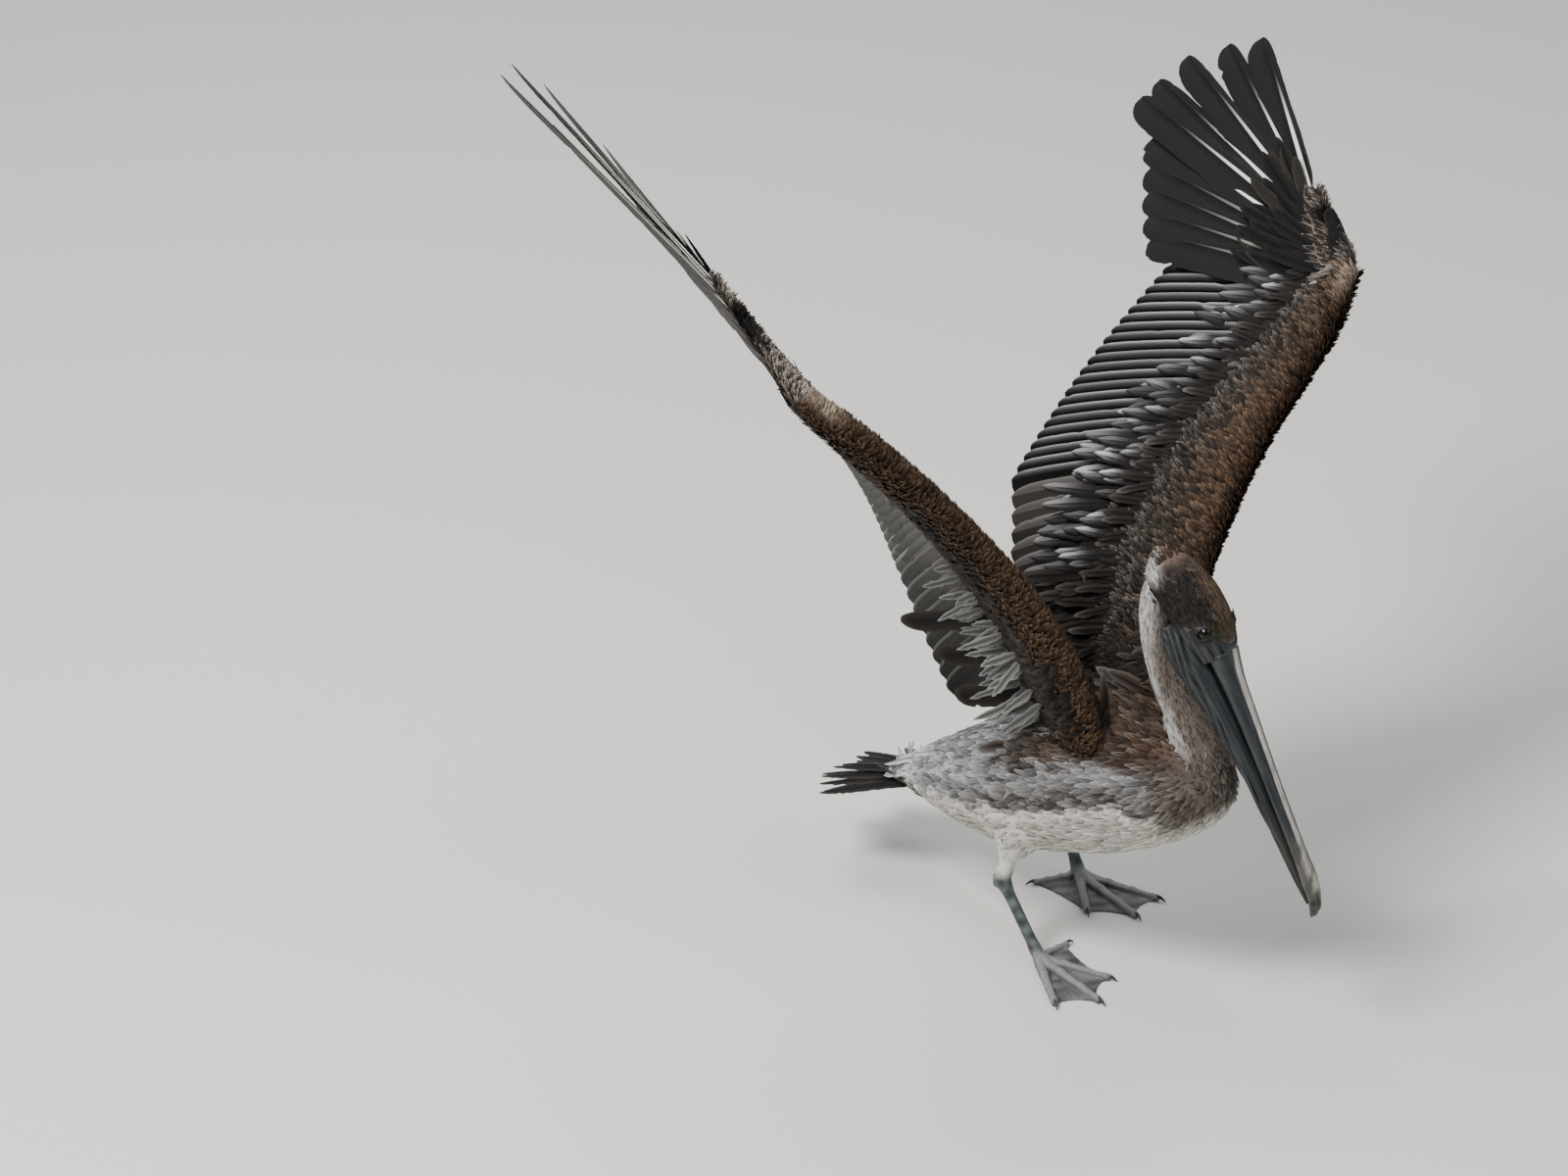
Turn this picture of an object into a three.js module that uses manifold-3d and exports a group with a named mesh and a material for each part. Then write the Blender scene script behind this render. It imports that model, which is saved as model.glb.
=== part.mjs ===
// A standing juvenile brown pelican with raised wings, life size, as a still museum model.
// Millimetres, +Z up. The bird faces -Y, its left side is +X. It stands on the plane z = 0.
import * as THREE from "three";
import { mergeVertices } from "three/addons/utils/BufferGeometryUtils.js";
import Module from "manifold-3d";

const wasm = await Module();
wasm.setup();

// ---------------------------------------------------------------- driving dimensions
const GAP = 0.35; // clearance between neighbouring pieces
const SKIN_SIDES = 18; // corners of a body ring
const LIMB_SIDES = 8; // corners of a leg ring

// Head frame: the point midway between the eyes, the pitch of the bill line and the head's roll.
const EYES_MIDDLE = new THREE.Vector3(0, -172, 361);
const BILL_PITCH = THREE.MathUtils.degToRad(-59);
const HEAD_ROLL = THREE.MathUtils.degToRad(-10);
const HEAD_YAW = THREE.MathUtils.degToRad(4.5);
const HEAD_FRONT = 24; // where the feathers end on the forehead, ahead of the eyes
const EYE_RADIUS = 9;
const EYE_OFFSET = 17; // centre of the eyeball from the middle plane

// Wing bones and feathers.
const HUMERUS = 215;
const ULNA = 240;
const HAND = 105;
const FEATHER_THICK = 1.5;
const PRIMARY_COVERTS = 0.4; // share of a primary's length under its coverts
const SECONDARY_COVERTS = 0.55;
const COVERT_THICK = 6;
const PRIMARIES = 10;
const SECONDARIES = 12;
const WING_ARCH = 34; // how far the arm bows up between shoulder and wrist

// Legs.
const TARSUS_RADIUS = 6.5;
const WEB_THICK = 2;
const CLAW_LENGTH = 9;

const vec = (p) => new THREE.Vector3(p[0], p[1], p[2]);
const lerp = THREE.MathUtils.lerp;

// ---------------------------------------------------------------- solids and booleans
// A closed mesh becomes a solid; a mesh that is inside out is turned round first.
function solidOf(geometry) {
  geometry.deleteAttribute("normal");
  geometry.deleteAttribute("uv");
  const merged = mergeVertices(geometry, 1e-4);
  const build = (triVerts) =>
    new wasm.Manifold(
      new wasm.Mesh({
        numProp: 3,
        vertProperties: new Float32Array(merged.attributes.position.array),
        triVerts: new Uint32Array(triVerts),
      }),
    );
  const corners = Array.from(merged.index.array);
  const solid = build(corners);
  if (solid.volume() > 0) return solid;
  for (let i = 0; i < corners.length; i += 3) {
    [corners[i + 1], corners[i + 2]] = [corners[i + 2], corners[i + 1]];
  }
  return build(corners);
}

function geometryOf(solid) {
  const mesh = solid.getMesh();
  const positions = new Float32Array(mesh.numVert * 3);
  for (let i = 0; i < mesh.numVert; i++) {
    positions.set(mesh.vertProperties.subarray(i * mesh.numProp, i * mesh.numProp + 3), i * 3);
  }
  const geometry = new THREE.BufferGeometry();
  geometry.setAttribute("position", new THREE.BufferAttribute(positions, 3));
  geometry.setIndex(new THREE.BufferAttribute(new Uint32Array(mesh.triVerts), 1));
  return geometry;
}

// Rings of equal length, skinned one to the next and closed at both ends by fans.
function solidFromRings(rings) {
  const sides = rings[0].length;
  const positions = [];
  const index = [];
  for (const ring of rings) {
    for (const p of ring) positions.push(p.x, p.y, p.z);
  }
  for (let r = 0; r < rings.length - 1; r++) {
    for (let s = 0; s < sides; s++) {
      const a = r * sides + s;
      const b = r * sides + ((s + 1) % sides);
      index.push(a, b, a + sides, b, b + sides, a + sides);
    }
  }
  const addFan = (start, flip) => {
    const middle = new THREE.Vector3();
    for (let s = 0; s < sides; s++) {
      middle.add(new THREE.Vector3().fromArray(positions, 3 * (start + s)));
    }
    middle.divideScalar(sides);
    const hub = positions.length / 3;
    positions.push(middle.x, middle.y, middle.z);
    for (let s = 0; s < sides; s++) {
      const a = start + s;
      const b = start + ((s + 1) % sides);
      if (flip) index.push(hub, b, a);
      else index.push(hub, a, b);
    }
  };
  addFan(0, true);
  addFan((rings.length - 1) * sides, false);
  const geometry = new THREE.BufferGeometry();
  geometry.setAttribute("position", new THREE.Float32BufferAttribute(positions, 3));
  geometry.setIndex(index);
  return solidOf(geometry);
}

const joinAll = (solids) => solids.reduce((whole, next) => whole.add(next));

// Cutting round a neighbour can leave loose crumbs: only the main body is kept.
function mainBody(solid) {
  return solid.decompose().reduce((best, next) => (next.volume() > best.volume() ? next : best));
}

// The half space on the side of the plane that its normal points to, as a very large block.
function halfSpace(point, normal) {
  const size = 3000;
  const block = new THREE.BoxGeometry(size, size, size);
  const turn = new THREE.Quaternion().setFromUnitVectors(new THREE.Vector3(0, 0, 1), normal);
  block.applyQuaternion(turn);
  const middle = point.clone().addScaledVector(normal, size / 2);
  block.translate(middle.x, middle.y, middle.z);
  return solidOf(block);
}

// ---------------------------------------------------------------- soft bodies as rings on a spine
// Each station of a spine gives its place and its half width, height above and depth below.
// grow widens the whole body, which keeps its neighbours clear of it.
function sampleSpine(stations, count) {
  const places = new THREE.CatmullRomCurve3(stations.map((s) => vec(s.at)));
  const sizes = new THREE.CatmullRomCurve3(
    stations.map((s) => new THREE.Vector3(s.wide, s.high, s.deep)),
  );
  const samples = [];
  for (let i = 0; i <= count; i++) {
    const t = i / count;
    samples.push({ at: places.getPoint(t), along: places.getTangent(t), size: sizes.getPoint(t) });
  }
  return samples;
}

function spineBody(stations, count, sides, across, grow = 0) {
  const samples = sampleSpine(stations, count);
  const rings = samples.map((sample, i) => {
    const side = across.clone().addScaledVector(sample.along, -across.dot(sample.along)).normalize();
    const up = new THREE.Vector3().crossVectors(side, sample.along).normalize();
    const place = sample.at.clone();
    if (i === 0) place.addScaledVector(sample.along, -grow);
    if (i === samples.length - 1) place.addScaledVector(sample.along, grow);
    const ring = [];
    for (let s = 0; s < sides; s++) {
      const angle = (2 * Math.PI * s) / sides;
      const rise = Math.sin(angle) > 0 ? sample.size.y + grow : sample.size.z + grow;
      ring.push(
        place
          .clone()
          .addScaledVector(side, (sample.size.x + grow) * Math.cos(angle))
          .addScaledVector(up, rise * Math.sin(angle)),
      );
    }
    return ring;
  });
  return solidFromRings(rings);
}

const LEFTWARD = new THREE.Vector3(1, 0, 0);

// ---------------------------------------------------------------- trunk
const TRUNK = [
  { at: [0, -196, 204], wide: 8, high: 9, deep: 9 },
  { at: [0, -182, 202], wide: 34, high: 30, deep: 32 },
  { at: [0, -150, 196], wide: 56, high: 54, deep: 52 },
  { at: [0, -105, 187], wide: 72, high: 76, deep: 66 },
  { at: [0, -50, 171], wide: 79, high: 86, deep: 74 },
  { at: [0, 10, 150], wide: 78, high: 78, deep: 72 },
  { at: [0, 70, 130], wide: 69, high: 65, deep: 64 },
  { at: [0, 125, 116], wide: 54, high: 46, deep: 46 },
  { at: [0, 168, 106], wide: 38, high: 28, deep: 29 },
  { at: [0, 200, 98], wide: 25, high: 14, deep: 15 },
];
const TRUNK_RINGS = 15;
const trunkBody = (grow) => spineBody(TRUNK, TRUNK_RINGS, SKIN_SIDES, LEFTWARD, grow);

// ---------------------------------------------------------------- neck, from the breast up to the nape
const NECK = [
  { at: [0, -140, 178], wide: 34, high: 30, deep: 30 },
  { at: [0, -166, 188], wide: 31, high: 28, deep: 28 },
  { at: [0, -172, 212], wide: 28, high: 26, deep: 26 },
  { at: [0, -161, 238], wide: 24, high: 24, deep: 24 },
  { at: [0, -143, 262], wide: 22, high: 22, deep: 22 },
  { at: [0, -124, 288], wide: 21, high: 21, deep: 21 },
  { at: [0, -111, 315], wide: 20, high: 20, deep: 20 },
  { at: [0, -105, 342], wide: 20, high: 20, deep: 20 },
  { at: [0, -105, 366], wide: 20, high: 20, deep: 20 },
  { at: [0, -112, 388], wide: 19, high: 18, deep: 19 },
];
const NECK_RINGS = 18;
const NECK_SIDES = 12;
const NECK_SPLITS = [0, 0.36, 0.66, 1]; // the neck is parted into three lengths

function neckLength(from, to, grow) {
  const samples = sampleSpine(NECK, NECK_RINGS);
  const first = Math.round(from * NECK_RINGS);
  const last = Math.round(to * NECK_RINGS);
  const stations = samples.slice(first, last + 1).map((s) => ({ ...s, at: s.at.clone() }));
  stations[0].at.addScaledVector(stations[0].along, GAP / 2 - grow);
  stations[stations.length - 1].at.addScaledVector(
    stations[stations.length - 1].along,
    grow - GAP / 2,
  );
  const rings = stations.map((s) => {
    const up = new THREE.Vector3().crossVectors(LEFTWARD, s.along).normalize();
    const ring = [];
    for (let k = 0; k < NECK_SIDES; k++) {
      const angle = (2 * Math.PI * k) / NECK_SIDES;
      ring.push(
        s.at
          .clone()
          .addScaledVector(LEFTWARD, (s.size.x + grow) * Math.cos(angle))
          .addScaledVector(up, (s.size.y + grow) * Math.sin(angle)),
      );
    }
    return ring;
  });
  return solidFromRings(rings);
}

// ---------------------------------------------------------------- head and bill in the head's own frame
const ahead = new THREE.Vector3(
  Math.cos(BILL_PITCH) * Math.sin(HEAD_YAW),
  -Math.cos(BILL_PITCH) * Math.cos(HEAD_YAW),
  Math.sin(BILL_PITCH),
);
const crownward = new THREE.Vector3()
  .crossVectors(ahead, LEFTWARD)
  .applyAxisAngle(ahead, HEAD_ROLL)
  .normalize();
const headLeft = new THREE.Vector3().crossVectors(crownward, ahead).normalize();
const inHead = (forward, up, left = 0) =>
  EYES_MIDDLE.clone()
    .addScaledVector(ahead, forward)
    .addScaledVector(crownward, up)
    .addScaledVector(headLeft, left);

// A ring across the head: top and bottom heights, half width, and how square its corners are.
function headRing({ forward, top, bottom, wide, square = 1 }, sides, grow) {
  const middle = (top + bottom) / 2;
  const rise = (top - bottom) / 2 + grow;
  const ring = [];
  for (let s = 0; s < sides; s++) {
    const angle = (2 * Math.PI * s) / sides;
    const c = Math.cos(angle);
    const d = Math.sin(angle);
    const across = Math.sign(c) * Math.abs(c) ** square * (wide + grow);
    ring.push(inHead(forward, middle + Math.sign(d) * Math.abs(d) ** square * rise, across));
  }
  return ring;
}

function headBody(stations, sides, grow = 0) {
  const rings = stations.map((s, i) => {
    let forward = s.forward;
    if (i === 0) forward -= grow;
    if (i === stations.length - 1) forward += grow;
    return headRing({ ...s, forward }, sides, grow);
  });
  return solidFromRings(rings);
}

const HEAD = [
  { forward: -80, top: -18, bottom: -30, wide: 6 },
  { forward: -74, top: -6, bottom: -40, wide: 15 },
  { forward: -62, top: 5, bottom: -46, wide: 21 },
  { forward: -42, top: 14.5, bottom: -44, wide: 25 },
  { forward: -20, top: 18.5, bottom: -40, wide: 26.5 },
  { forward: -2, top: 18, bottom: -35, wide: 25.5 },
  { forward: 12, top: 14, bottom: -29, wide: 22.5 },
  { forward: HEAD_FRONT, top: 8.5, bottom: -24, wide: 19 },
];
const UPPER_BILL = [
  { forward: HEAD_FRONT + GAP, top: 8, bottom: -14.5, wide: 17, square: 0.8 },
  { forward: 46, top: 3.5, bottom: -13.8, wide: 14, square: 0.8 },
  { forward: 90, top: -0.5, bottom: -13.5, wide: 11.5, square: 0.8 },
  { forward: 150, top: -6, bottom: -14.8, wide: 10.2, square: 0.8 },
  { forward: 205, top: -9.5, bottom: -16.8, wide: 10, square: 0.8 },
  { forward: 240, top: -11.5, bottom: -18.8, wide: 10, square: 0.8 },
  { forward: 257, top: -13.5, bottom: -22.5, wide: 8 },
  { forward: 267, top: -17.5, bottom: -28, wide: 5 },
  { forward: 271.5, top: -24, bottom: -30, wide: 2 },
];
const LOWER_BILL = [
  { forward: -16, top: -26, bottom: -50, wide: 17 },
  { forward: 0, top: -18, bottom: -56, wide: 19.5 },
  { forward: 24, top: -15.2, bottom: -54, wide: 19 },
  { forward: 50, top: -14.4, bottom: -46, wide: 17 },
  { forward: 90, top: -14, bottom: -39, wide: 14.5 },
  { forward: 130, top: -14.8, bottom: -34.5, wide: 12.5 },
  { forward: 170, top: -16, bottom: -31.5, wide: 11 },
  { forward: 210, top: -17.6, bottom: -29.5, wide: 9.5 },
  { forward: 245, top: -19.9, bottom: -27.5, wide: 7.5 },
  { forward: 259, top: -23.6, bottom: -27, wide: 4 },
];
const HEAD_SIDES = 14;
const BILL_SIDES = 12;

function eyeBall(side, grow) {
  const ball = new THREE.SphereGeometry(EYE_RADIUS + grow, 10, 6);
  const turn = new THREE.Quaternion().setFromUnitVectors(new THREE.Vector3(0, 1, 0), headLeft);
  ball.applyQuaternion(turn);
  const place = inHead(0, 0, side * EYE_OFFSET);
  ball.translate(place.x, place.y, place.z);
  return solidOf(ball);
}

// ---------------------------------------------------------------- wings
// The places of the joints and the directions of the feathers, on each side of the bird.
// inner and wristward are feather directions at the elbow and at the wrist.
const WINGS = {
  left: {
    shoulder: [50, -62, 236],
    wrist: [312, -49, 568],
    tip: [583, 290, 640],
    chord: [-0.21, 0.943, -0.264],
    tertial: [-0.28, 0.88, -0.38],
    inner: [-0.2, 0.945, -0.26],
    wristward: [-0.105, 0.982, -0.132],
    handLift: 0,
    outerBow: 20,
    tertialLength: 140,
  },
  right: {
    shoulder: [-50, -62, 236],
    wrist: [-251, 86, 575],
    tip: [-231, 471, 787],
    chord: [0.52, 0.67, -0.49],
    tertial: [0.4, 0.72, -0.56],
    inner: [0.56, 0.67, -0.47],
    wristward: [0.63, 0.69, -0.34],
    handLift: 0.06,
    outerBow: 4,
    tertialLength: 202,
  },
};

// The wing's own frame: from shoulder to wrist, back across the wing, and out of its upper face.
function wingFrame(wing, sideSign) {
  const shoulder = vec(wing.shoulder);
  const wrist = vec(wing.wrist);
  const span = wrist.clone().sub(shoulder);
  const reach = span.length();
  span.normalize();
  const back = vec(wing.chord);
  back.addScaledVector(span, -back.dot(span)).normalize();
  const upper = new THREE.Vector3().crossVectors(span, back).multiplyScalar(sideSign).normalize();
  const tip = vec(wing.tip);
  const outward = tip.clone().sub(wrist).normalize();
  const handBack = vec(wing.wristward);
  handBack.addScaledVector(outward, -handBack.dot(outward)).normalize();
  const handUpper = new THREE.Vector3()
    .crossVectors(outward, handBack)
    .multiplyScalar(sideSign)
    .normalize();
  outward.addScaledVector(handUpper, wing.handLift).normalize();
  handUpper.addScaledVector(outward, -handUpper.dot(outward)).normalize();
  // The arm bows up between the shoulder and the wrist, most of all near the middle.
  const archAt = (along) => {
    const t = THREE.MathUtils.clamp(along, 0, 1);
    return WING_ARCH * Math.sin(Math.PI * t ** 0.75);
  };
  // The elbow lies behind the line from shoulder to wrist, by the lengths of the two bones.
  const alongBone = (HUMERUS ** 2 - ULNA ** 2 + reach ** 2) / (2 * reach);
  const behind = Math.sqrt(Math.max(HUMERUS ** 2 - alongBone ** 2, 0));
  const elbow = shoulder
    .clone()
    .addScaledVector(span, alongBone)
    .addScaledVector(back, behind)
    .addScaledVector(upper, archAt(alongBone / reach));
  return {
    shoulder, wrist, elbow, tip, span, reach, back, upper, outward, handBack, handUpper, archAt,
  };
}

// One slice across the fleshy part of a wing: a blunt front that thins towards the feathers.
const WING_SIDES = 12;
function wingRing(front, back, upper, chord, thick, grow) {
  const ring = [];
  for (let s = 0; s < WING_SIDES; s++) {
    const angle = (2 * Math.PI * s) / WING_SIDES;
    const rear = (1 - Math.cos(angle)) / 2;
    const rise = (Math.sin(angle) * thick * (1 - 0.7 * rear)) / 2;
    const atEdge = s === 0 || s === WING_SIDES / 2;
    ring.push(
      front
        .clone()
        .addScaledVector(back, rear * (chord + 6 * grow) - 3 * grow)
        .addScaledVector(upper, atEdge ? 0 : rise + Math.sign(rise) * grow),
    );
  }
  return ring;
}

// Slices from the shoulder to the wrist and on to the end of the hand.
// along is a fraction of the arm or hand, ahead is how far the front edge stands before the bone line.
const ARM_SLICES = [
  { along: -0.06, ahead: 24, chord: 128, thick: 58 },
  { along: 0.1, ahead: 24, chord: 138, thick: 60 },
  { along: 0.26, ahead: 22, chord: 146, thick: 58 },
  { along: 0.42, ahead: 20, chord: 143, thick: 54 },
  { along: 0.58, ahead: 19, chord: 126, thick: 50 },
  { along: 0.74, ahead: 24, chord: 107, thick: 48 },
  { along: 0.88, ahead: 24, chord: 84, thick: 46 },
  { along: 0.98, ahead: 15, chord: 62, thick: 40 },
];
const HAND_SLICES = [
  { along: 0.06, ahead: 12, chord: 59, thick: 37 },
  { along: 0.3, ahead: 15, chord: 57, thick: 29 },
  { along: 0.65, ahead: 9, chord: 44, thick: 20 },
  { along: 1.0, ahead: 7, chord: 34, thick: 14 },
  { along: 1.4, ahead: 5, chord: 22, thick: 9 },
];
const ELBOW_SLICE = 3; // the slice where the upper arm meets the forearm

function armPart(frame, first, last, grow) {
  const slices = ARM_SLICES.slice(first, last + 1);
  const rings = slices.map((slice, i) => {
    let along = slice.along * frame.reach;
    if (i === 0) along += GAP / 2 - grow;
    if (i === slices.length - 1) along += grow - GAP / 2;
    const front = frame.shoulder
      .clone()
      .addScaledVector(frame.span, along)
      .addScaledVector(frame.upper, frame.archAt(slice.along))
      .addScaledVector(frame.back, -slice.ahead);
    const slope = (frame.archAt(slice.along + 0.02) - frame.archAt(slice.along - 0.02)) / 0.04;
    const upper = frame.upper
      .clone()
      .addScaledVector(frame.span, -slope / frame.reach)
      .normalize();
    return wingRing(front, frame.back, upper, slice.chord, slice.thick, grow);
  });
  return solidFromRings(rings);
}

// The hand's first slice turns half way from the arm to the hand, so that the wrist is round.
function handPart(frame, grow) {
  const rings = HAND_SLICES.map((slice, i) => {
    let along = slice.along * HAND;
    if (i === 0) along += GAP / 2 - grow;
    if (i === HAND_SLICES.length - 1) along += grow;
    const turned = i === 0 ? 0.5 : 1;
    const back = frame.back.clone().lerp(frame.handBack, turned).normalize();
    const upper = frame.upper.clone().lerp(frame.handUpper, turned).normalize();
    const front = frame.wrist
      .clone()
      .addScaledVector(frame.outward, along)
      .addScaledVector(back, -slice.ahead);
    return wingRing(front, back, upper, slice.chord, slice.thick, grow);
  });
  return solidFromRings(rings);
}

// A flight feather as a thin blade that bows down towards its tip and ends round.
const BLADE = [
  { along: 0, wide: 0.5 },
  { along: 0.55, wide: 1 },
  { along: 0.92, wide: 0.9 },
  { along: 1, wide: 0.42 },
];
function blade(root, direction, upper, length, width, bow) {
  const side = new THREE.Vector3().crossVectors(direction, upper).normalize();
  const face = new THREE.Vector3().crossVectors(side, direction).normalize();
  const rings = BLADE.map((station) => {
    const place = root
      .clone()
      .addScaledVector(direction, station.along * length)
      .addScaledVector(face, -bow * station.along ** 2);
    const half = (station.wide * width) / 2;
    return [
      place.clone().addScaledVector(side, half),
      place.clone().addScaledVector(face, FEATHER_THICK / 2),
      place.clone().addScaledVector(side, -half),
      place.clone().addScaledVector(face, -FEATHER_THICK / 2),
    ];
  });
  return solidFromRings(rings);
}

const between = (a, b, t) => vec(a).lerp(vec(b), t).normalize();

// Coverts lie over the roots of the flight feathers as one thin band that holds the fan together.
function covertBand(feathers, share, thick) {
  const rings = feathers.map(({ root, direction, upper, length, bow }) => {
    const end = root
      .clone()
      .addScaledVector(direction, share * length)
      .addScaledVector(upper, -bow * share ** 2);
    const middle = root
      .clone()
      .addScaledVector(direction, (share / 2) * length)
      .addScaledVector(upper, -bow * (share / 2) ** 2);
    return [
      root.clone().addScaledVector(upper, thick / 2),
      middle.clone().addScaledVector(upper, thick / 2),
      end.clone().addScaledVector(upper, thick / 4),
      end.clone().addScaledVector(upper, -thick / 4),
      middle.clone().addScaledVector(upper, -thick / 2),
      root.clone().addScaledVector(upper, -thick / 2),
    ];
  });
  return solidFromRings(rings);
}

const fanSolid = (feathers, share, thick) =>
  joinAll([
    ...feathers.map((f) => blade(f.root, f.direction, f.upper, f.length, f.width, f.bow)),
    covertBand(feathers, share, thick),
  ]);

// How far each primary turns from the line to the wing tip towards the wristward way, and its length.
const FAN_TURN = [-0.033, 0.094, 0.235, 0.337, 0.416, 0.483, 0.554, 0.624, 0.696, 0.77];
const FAN_LENGTH = [302, 334, 345, 353, 343, 294, 269, 250, 233, 216];
function readAt(table, t) {
  const place = t * (table.length - 1);
  const i = Math.min(Math.floor(place), table.length - 2);
  return lerp(table[i], table[i + 1], place - i);
}

// The outermost primary comes first.
function primaryFeathers(wing, frame) {
  const feathers = [];
  for (let i = 0; i < PRIMARIES; i++) {
    const t = i / (PRIMARIES - 1);
    const root = frame.wrist
      .clone()
      .addScaledVector(frame.outward, HAND * lerp(1.25, 0.1, t))
      .addScaledVector(frame.handBack, lerp(4, 24, t));
    const outer = frame.tip.clone().sub(root).normalize();
    const direction = outer.lerp(vec(wing.wristward), readAt(FAN_TURN, t)).normalize();
    const length = readAt(FAN_LENGTH, t);
    const bow = lerp(2, 0.6 * wing.outerBow, t);
    feathers.push({ root, direction, upper: frame.handUpper, length, width: lerp(36, 40, t), bow });
  }
  return feathers;
}

// Secondaries stand on the forearm, tertials near and inside the elbow.
const FOREARM_SHARE = 0.72; // the share of these feathers that stand on the forearm
function secondaryFeathers(wing, frame) {
  const feathers = [];
  for (let i = 0; i < SECONDARIES; i++) {
    const t = i / (SECONDARIES - 1);
    const onForearm = Math.min(t / FOREARM_SHARE, 1);
    const onUpperArm = Math.max((t - FOREARM_SHARE) / (1 - FOREARM_SHARE), 0);
    const innerRoot = frame.shoulder
      .clone()
      .addScaledVector(frame.back, 60)
      .addScaledVector(frame.upper, 20);
    const root = frame.wrist
      .clone()
      .lerp(frame.elbow, onForearm)
      .lerp(innerRoot, 0.62 * onUpperArm)
      .addScaledVector(frame.back, 12)
      .addScaledVector(frame.upper, 12 * Math.sin(Math.PI * onForearm));
    const direction =
      onUpperArm > 0
        ? between(wing.inner, wing.tertial, onUpperArm)
        : between(wing.wristward, wing.inner, onForearm);
    const length = lerp(lerp(188, wing.tertialLength, t), wing.tertialLength - 22, onUpperArm);
    const bow = lerp(wing.outerBow, 20, onForearm);
    feathers.push({ root, direction, upper: frame.upper, length, width: 40, bow });
  }
  return feathers;
}

// ---------------------------------------------------------------- tail
const TAIL_FEATHERS = 8;
const TAIL_SPREAD = THREE.MathUtils.degToRad(25);
const TAIL_LENGTH = 116;
const TAIL_ROOT = new THREE.Vector3(0, 172, 103);
const TAIL_DROP = THREE.MathUtils.degToRad(-13);
const TAIL_COVERTS = 0.6;
function tailFan() {
  const feathers = [];
  for (let i = 0; i < TAIL_FEATHERS; i++) {
    const t = (i / (TAIL_FEATHERS - 1)) * 2 - 1;
    const angle = t * TAIL_SPREAD;
    const direction = new THREE.Vector3(
      Math.sin(angle) * Math.cos(TAIL_DROP),
      Math.cos(angle) * Math.cos(TAIL_DROP),
      Math.sin(TAIL_DROP),
    );
    const root = TAIL_ROOT.clone().add(new THREE.Vector3(16 * t, -6 * Math.abs(t), -3 * t * t));
    const upper = new THREE.Vector3(0.25 * t, 0.25, 1).normalize();
    feathers.push({ root, direction, upper, length: TAIL_LENGTH - 10 * t * t, width: 25, bow: 4 });
  }
  return fanSolid(feathers, TAIL_COVERTS, COVERT_THICK);
}

// ---------------------------------------------------------------- legs and feet
// Toe headings are turned from straight ahead towards the outer side, in degrees.
const TOES = [
  { name: "outer", heading: 25, length: 95, radius: 4.2 },
  { name: "middle", heading: 0, length: 105, radius: 4.4 },
  { name: "inner", heading: -27, length: 82, radius: 4.2 },
  { name: "hind", heading: -104, length: 52, radius: 3.6 },
];
const LEGS = {
  right: { side: -1, hip: [-46, 14, 120], ankle: [-67, 16, 70], foot: [-66, -27, 0], heading: 12 },
  left: { side: 1, hip: [48, 28, 116], ankle: [76, 74, 72], foot: [84, 58, 0], heading: -14 },
};
const FOOT_RISE = 13; // height of the middle of the foot joint above the ground

function limb(from, to, fromRadius, toRadius, sides, steps = 2) {
  const direction = to.clone().sub(from).normalize();
  const side = new THREE.Vector3().crossVectors(direction, new THREE.Vector3(0, 1, 0.3)).normalize();
  const up = new THREE.Vector3().crossVectors(side, direction).normalize();
  const rings = [];
  for (let i = 0; i <= steps; i++) {
    const place = from.clone().lerp(to, i / steps);
    const radius = lerp(fromRadius, toRadius, i / steps);
    const ring = [];
    for (let s = 0; s < sides; s++) {
      const angle = (2 * Math.PI * s) / sides;
      ring.push(
        place
          .clone()
          .addScaledVector(side, radius * Math.cos(angle))
          .addScaledVector(up, radius * Math.sin(angle)),
      );
    }
    rings.push(ring);
  }
  return solidFromRings(rings);
}

// The direction of a toe on the ground, for a foot on the given side of the bird.
function toeDirection(leg, toe) {
  const angle = THREE.MathUtils.degToRad(leg.heading + toe.heading);
  return new THREE.Vector3(leg.side * Math.sin(angle), -Math.cos(angle), 0);
}

// A toe: a round bar with a flat sole that thins towards its claw.
const TOE_SIDES = 6;
function toeBar(leg, toe) {
  const direction = toeDirection(leg, toe);
  const side = new THREE.Vector3(-direction.y, direction.x, 0);
  const base = vec(leg.foot);
  const rings = [0, 0.35, 0.7, 1].map((t) => {
    const radius = lerp(toe.radius * 1.25, toe.radius * 0.62, t);
    const height = lerp(FOOT_RISE, radius, Math.min(1, t / 0.35));
    const ring = [];
    for (let s = 0; s < TOE_SIDES; s++) {
      const angle = (2 * Math.PI * (s + 0.5)) / TOE_SIDES;
      const rise = height + radius * Math.sin(angle);
      const sole = t === 0 ? rise : Math.max(rise, 0);
      ring.push(
        base
          .clone()
          .addScaledVector(direction, t * (toe.length - CLAW_LENGTH))
          .addScaledVector(side, radius * Math.cos(angle))
          .setZ(sole),
      );
    }
    return ring;
  });
  return solidFromRings(rings);
}

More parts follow.
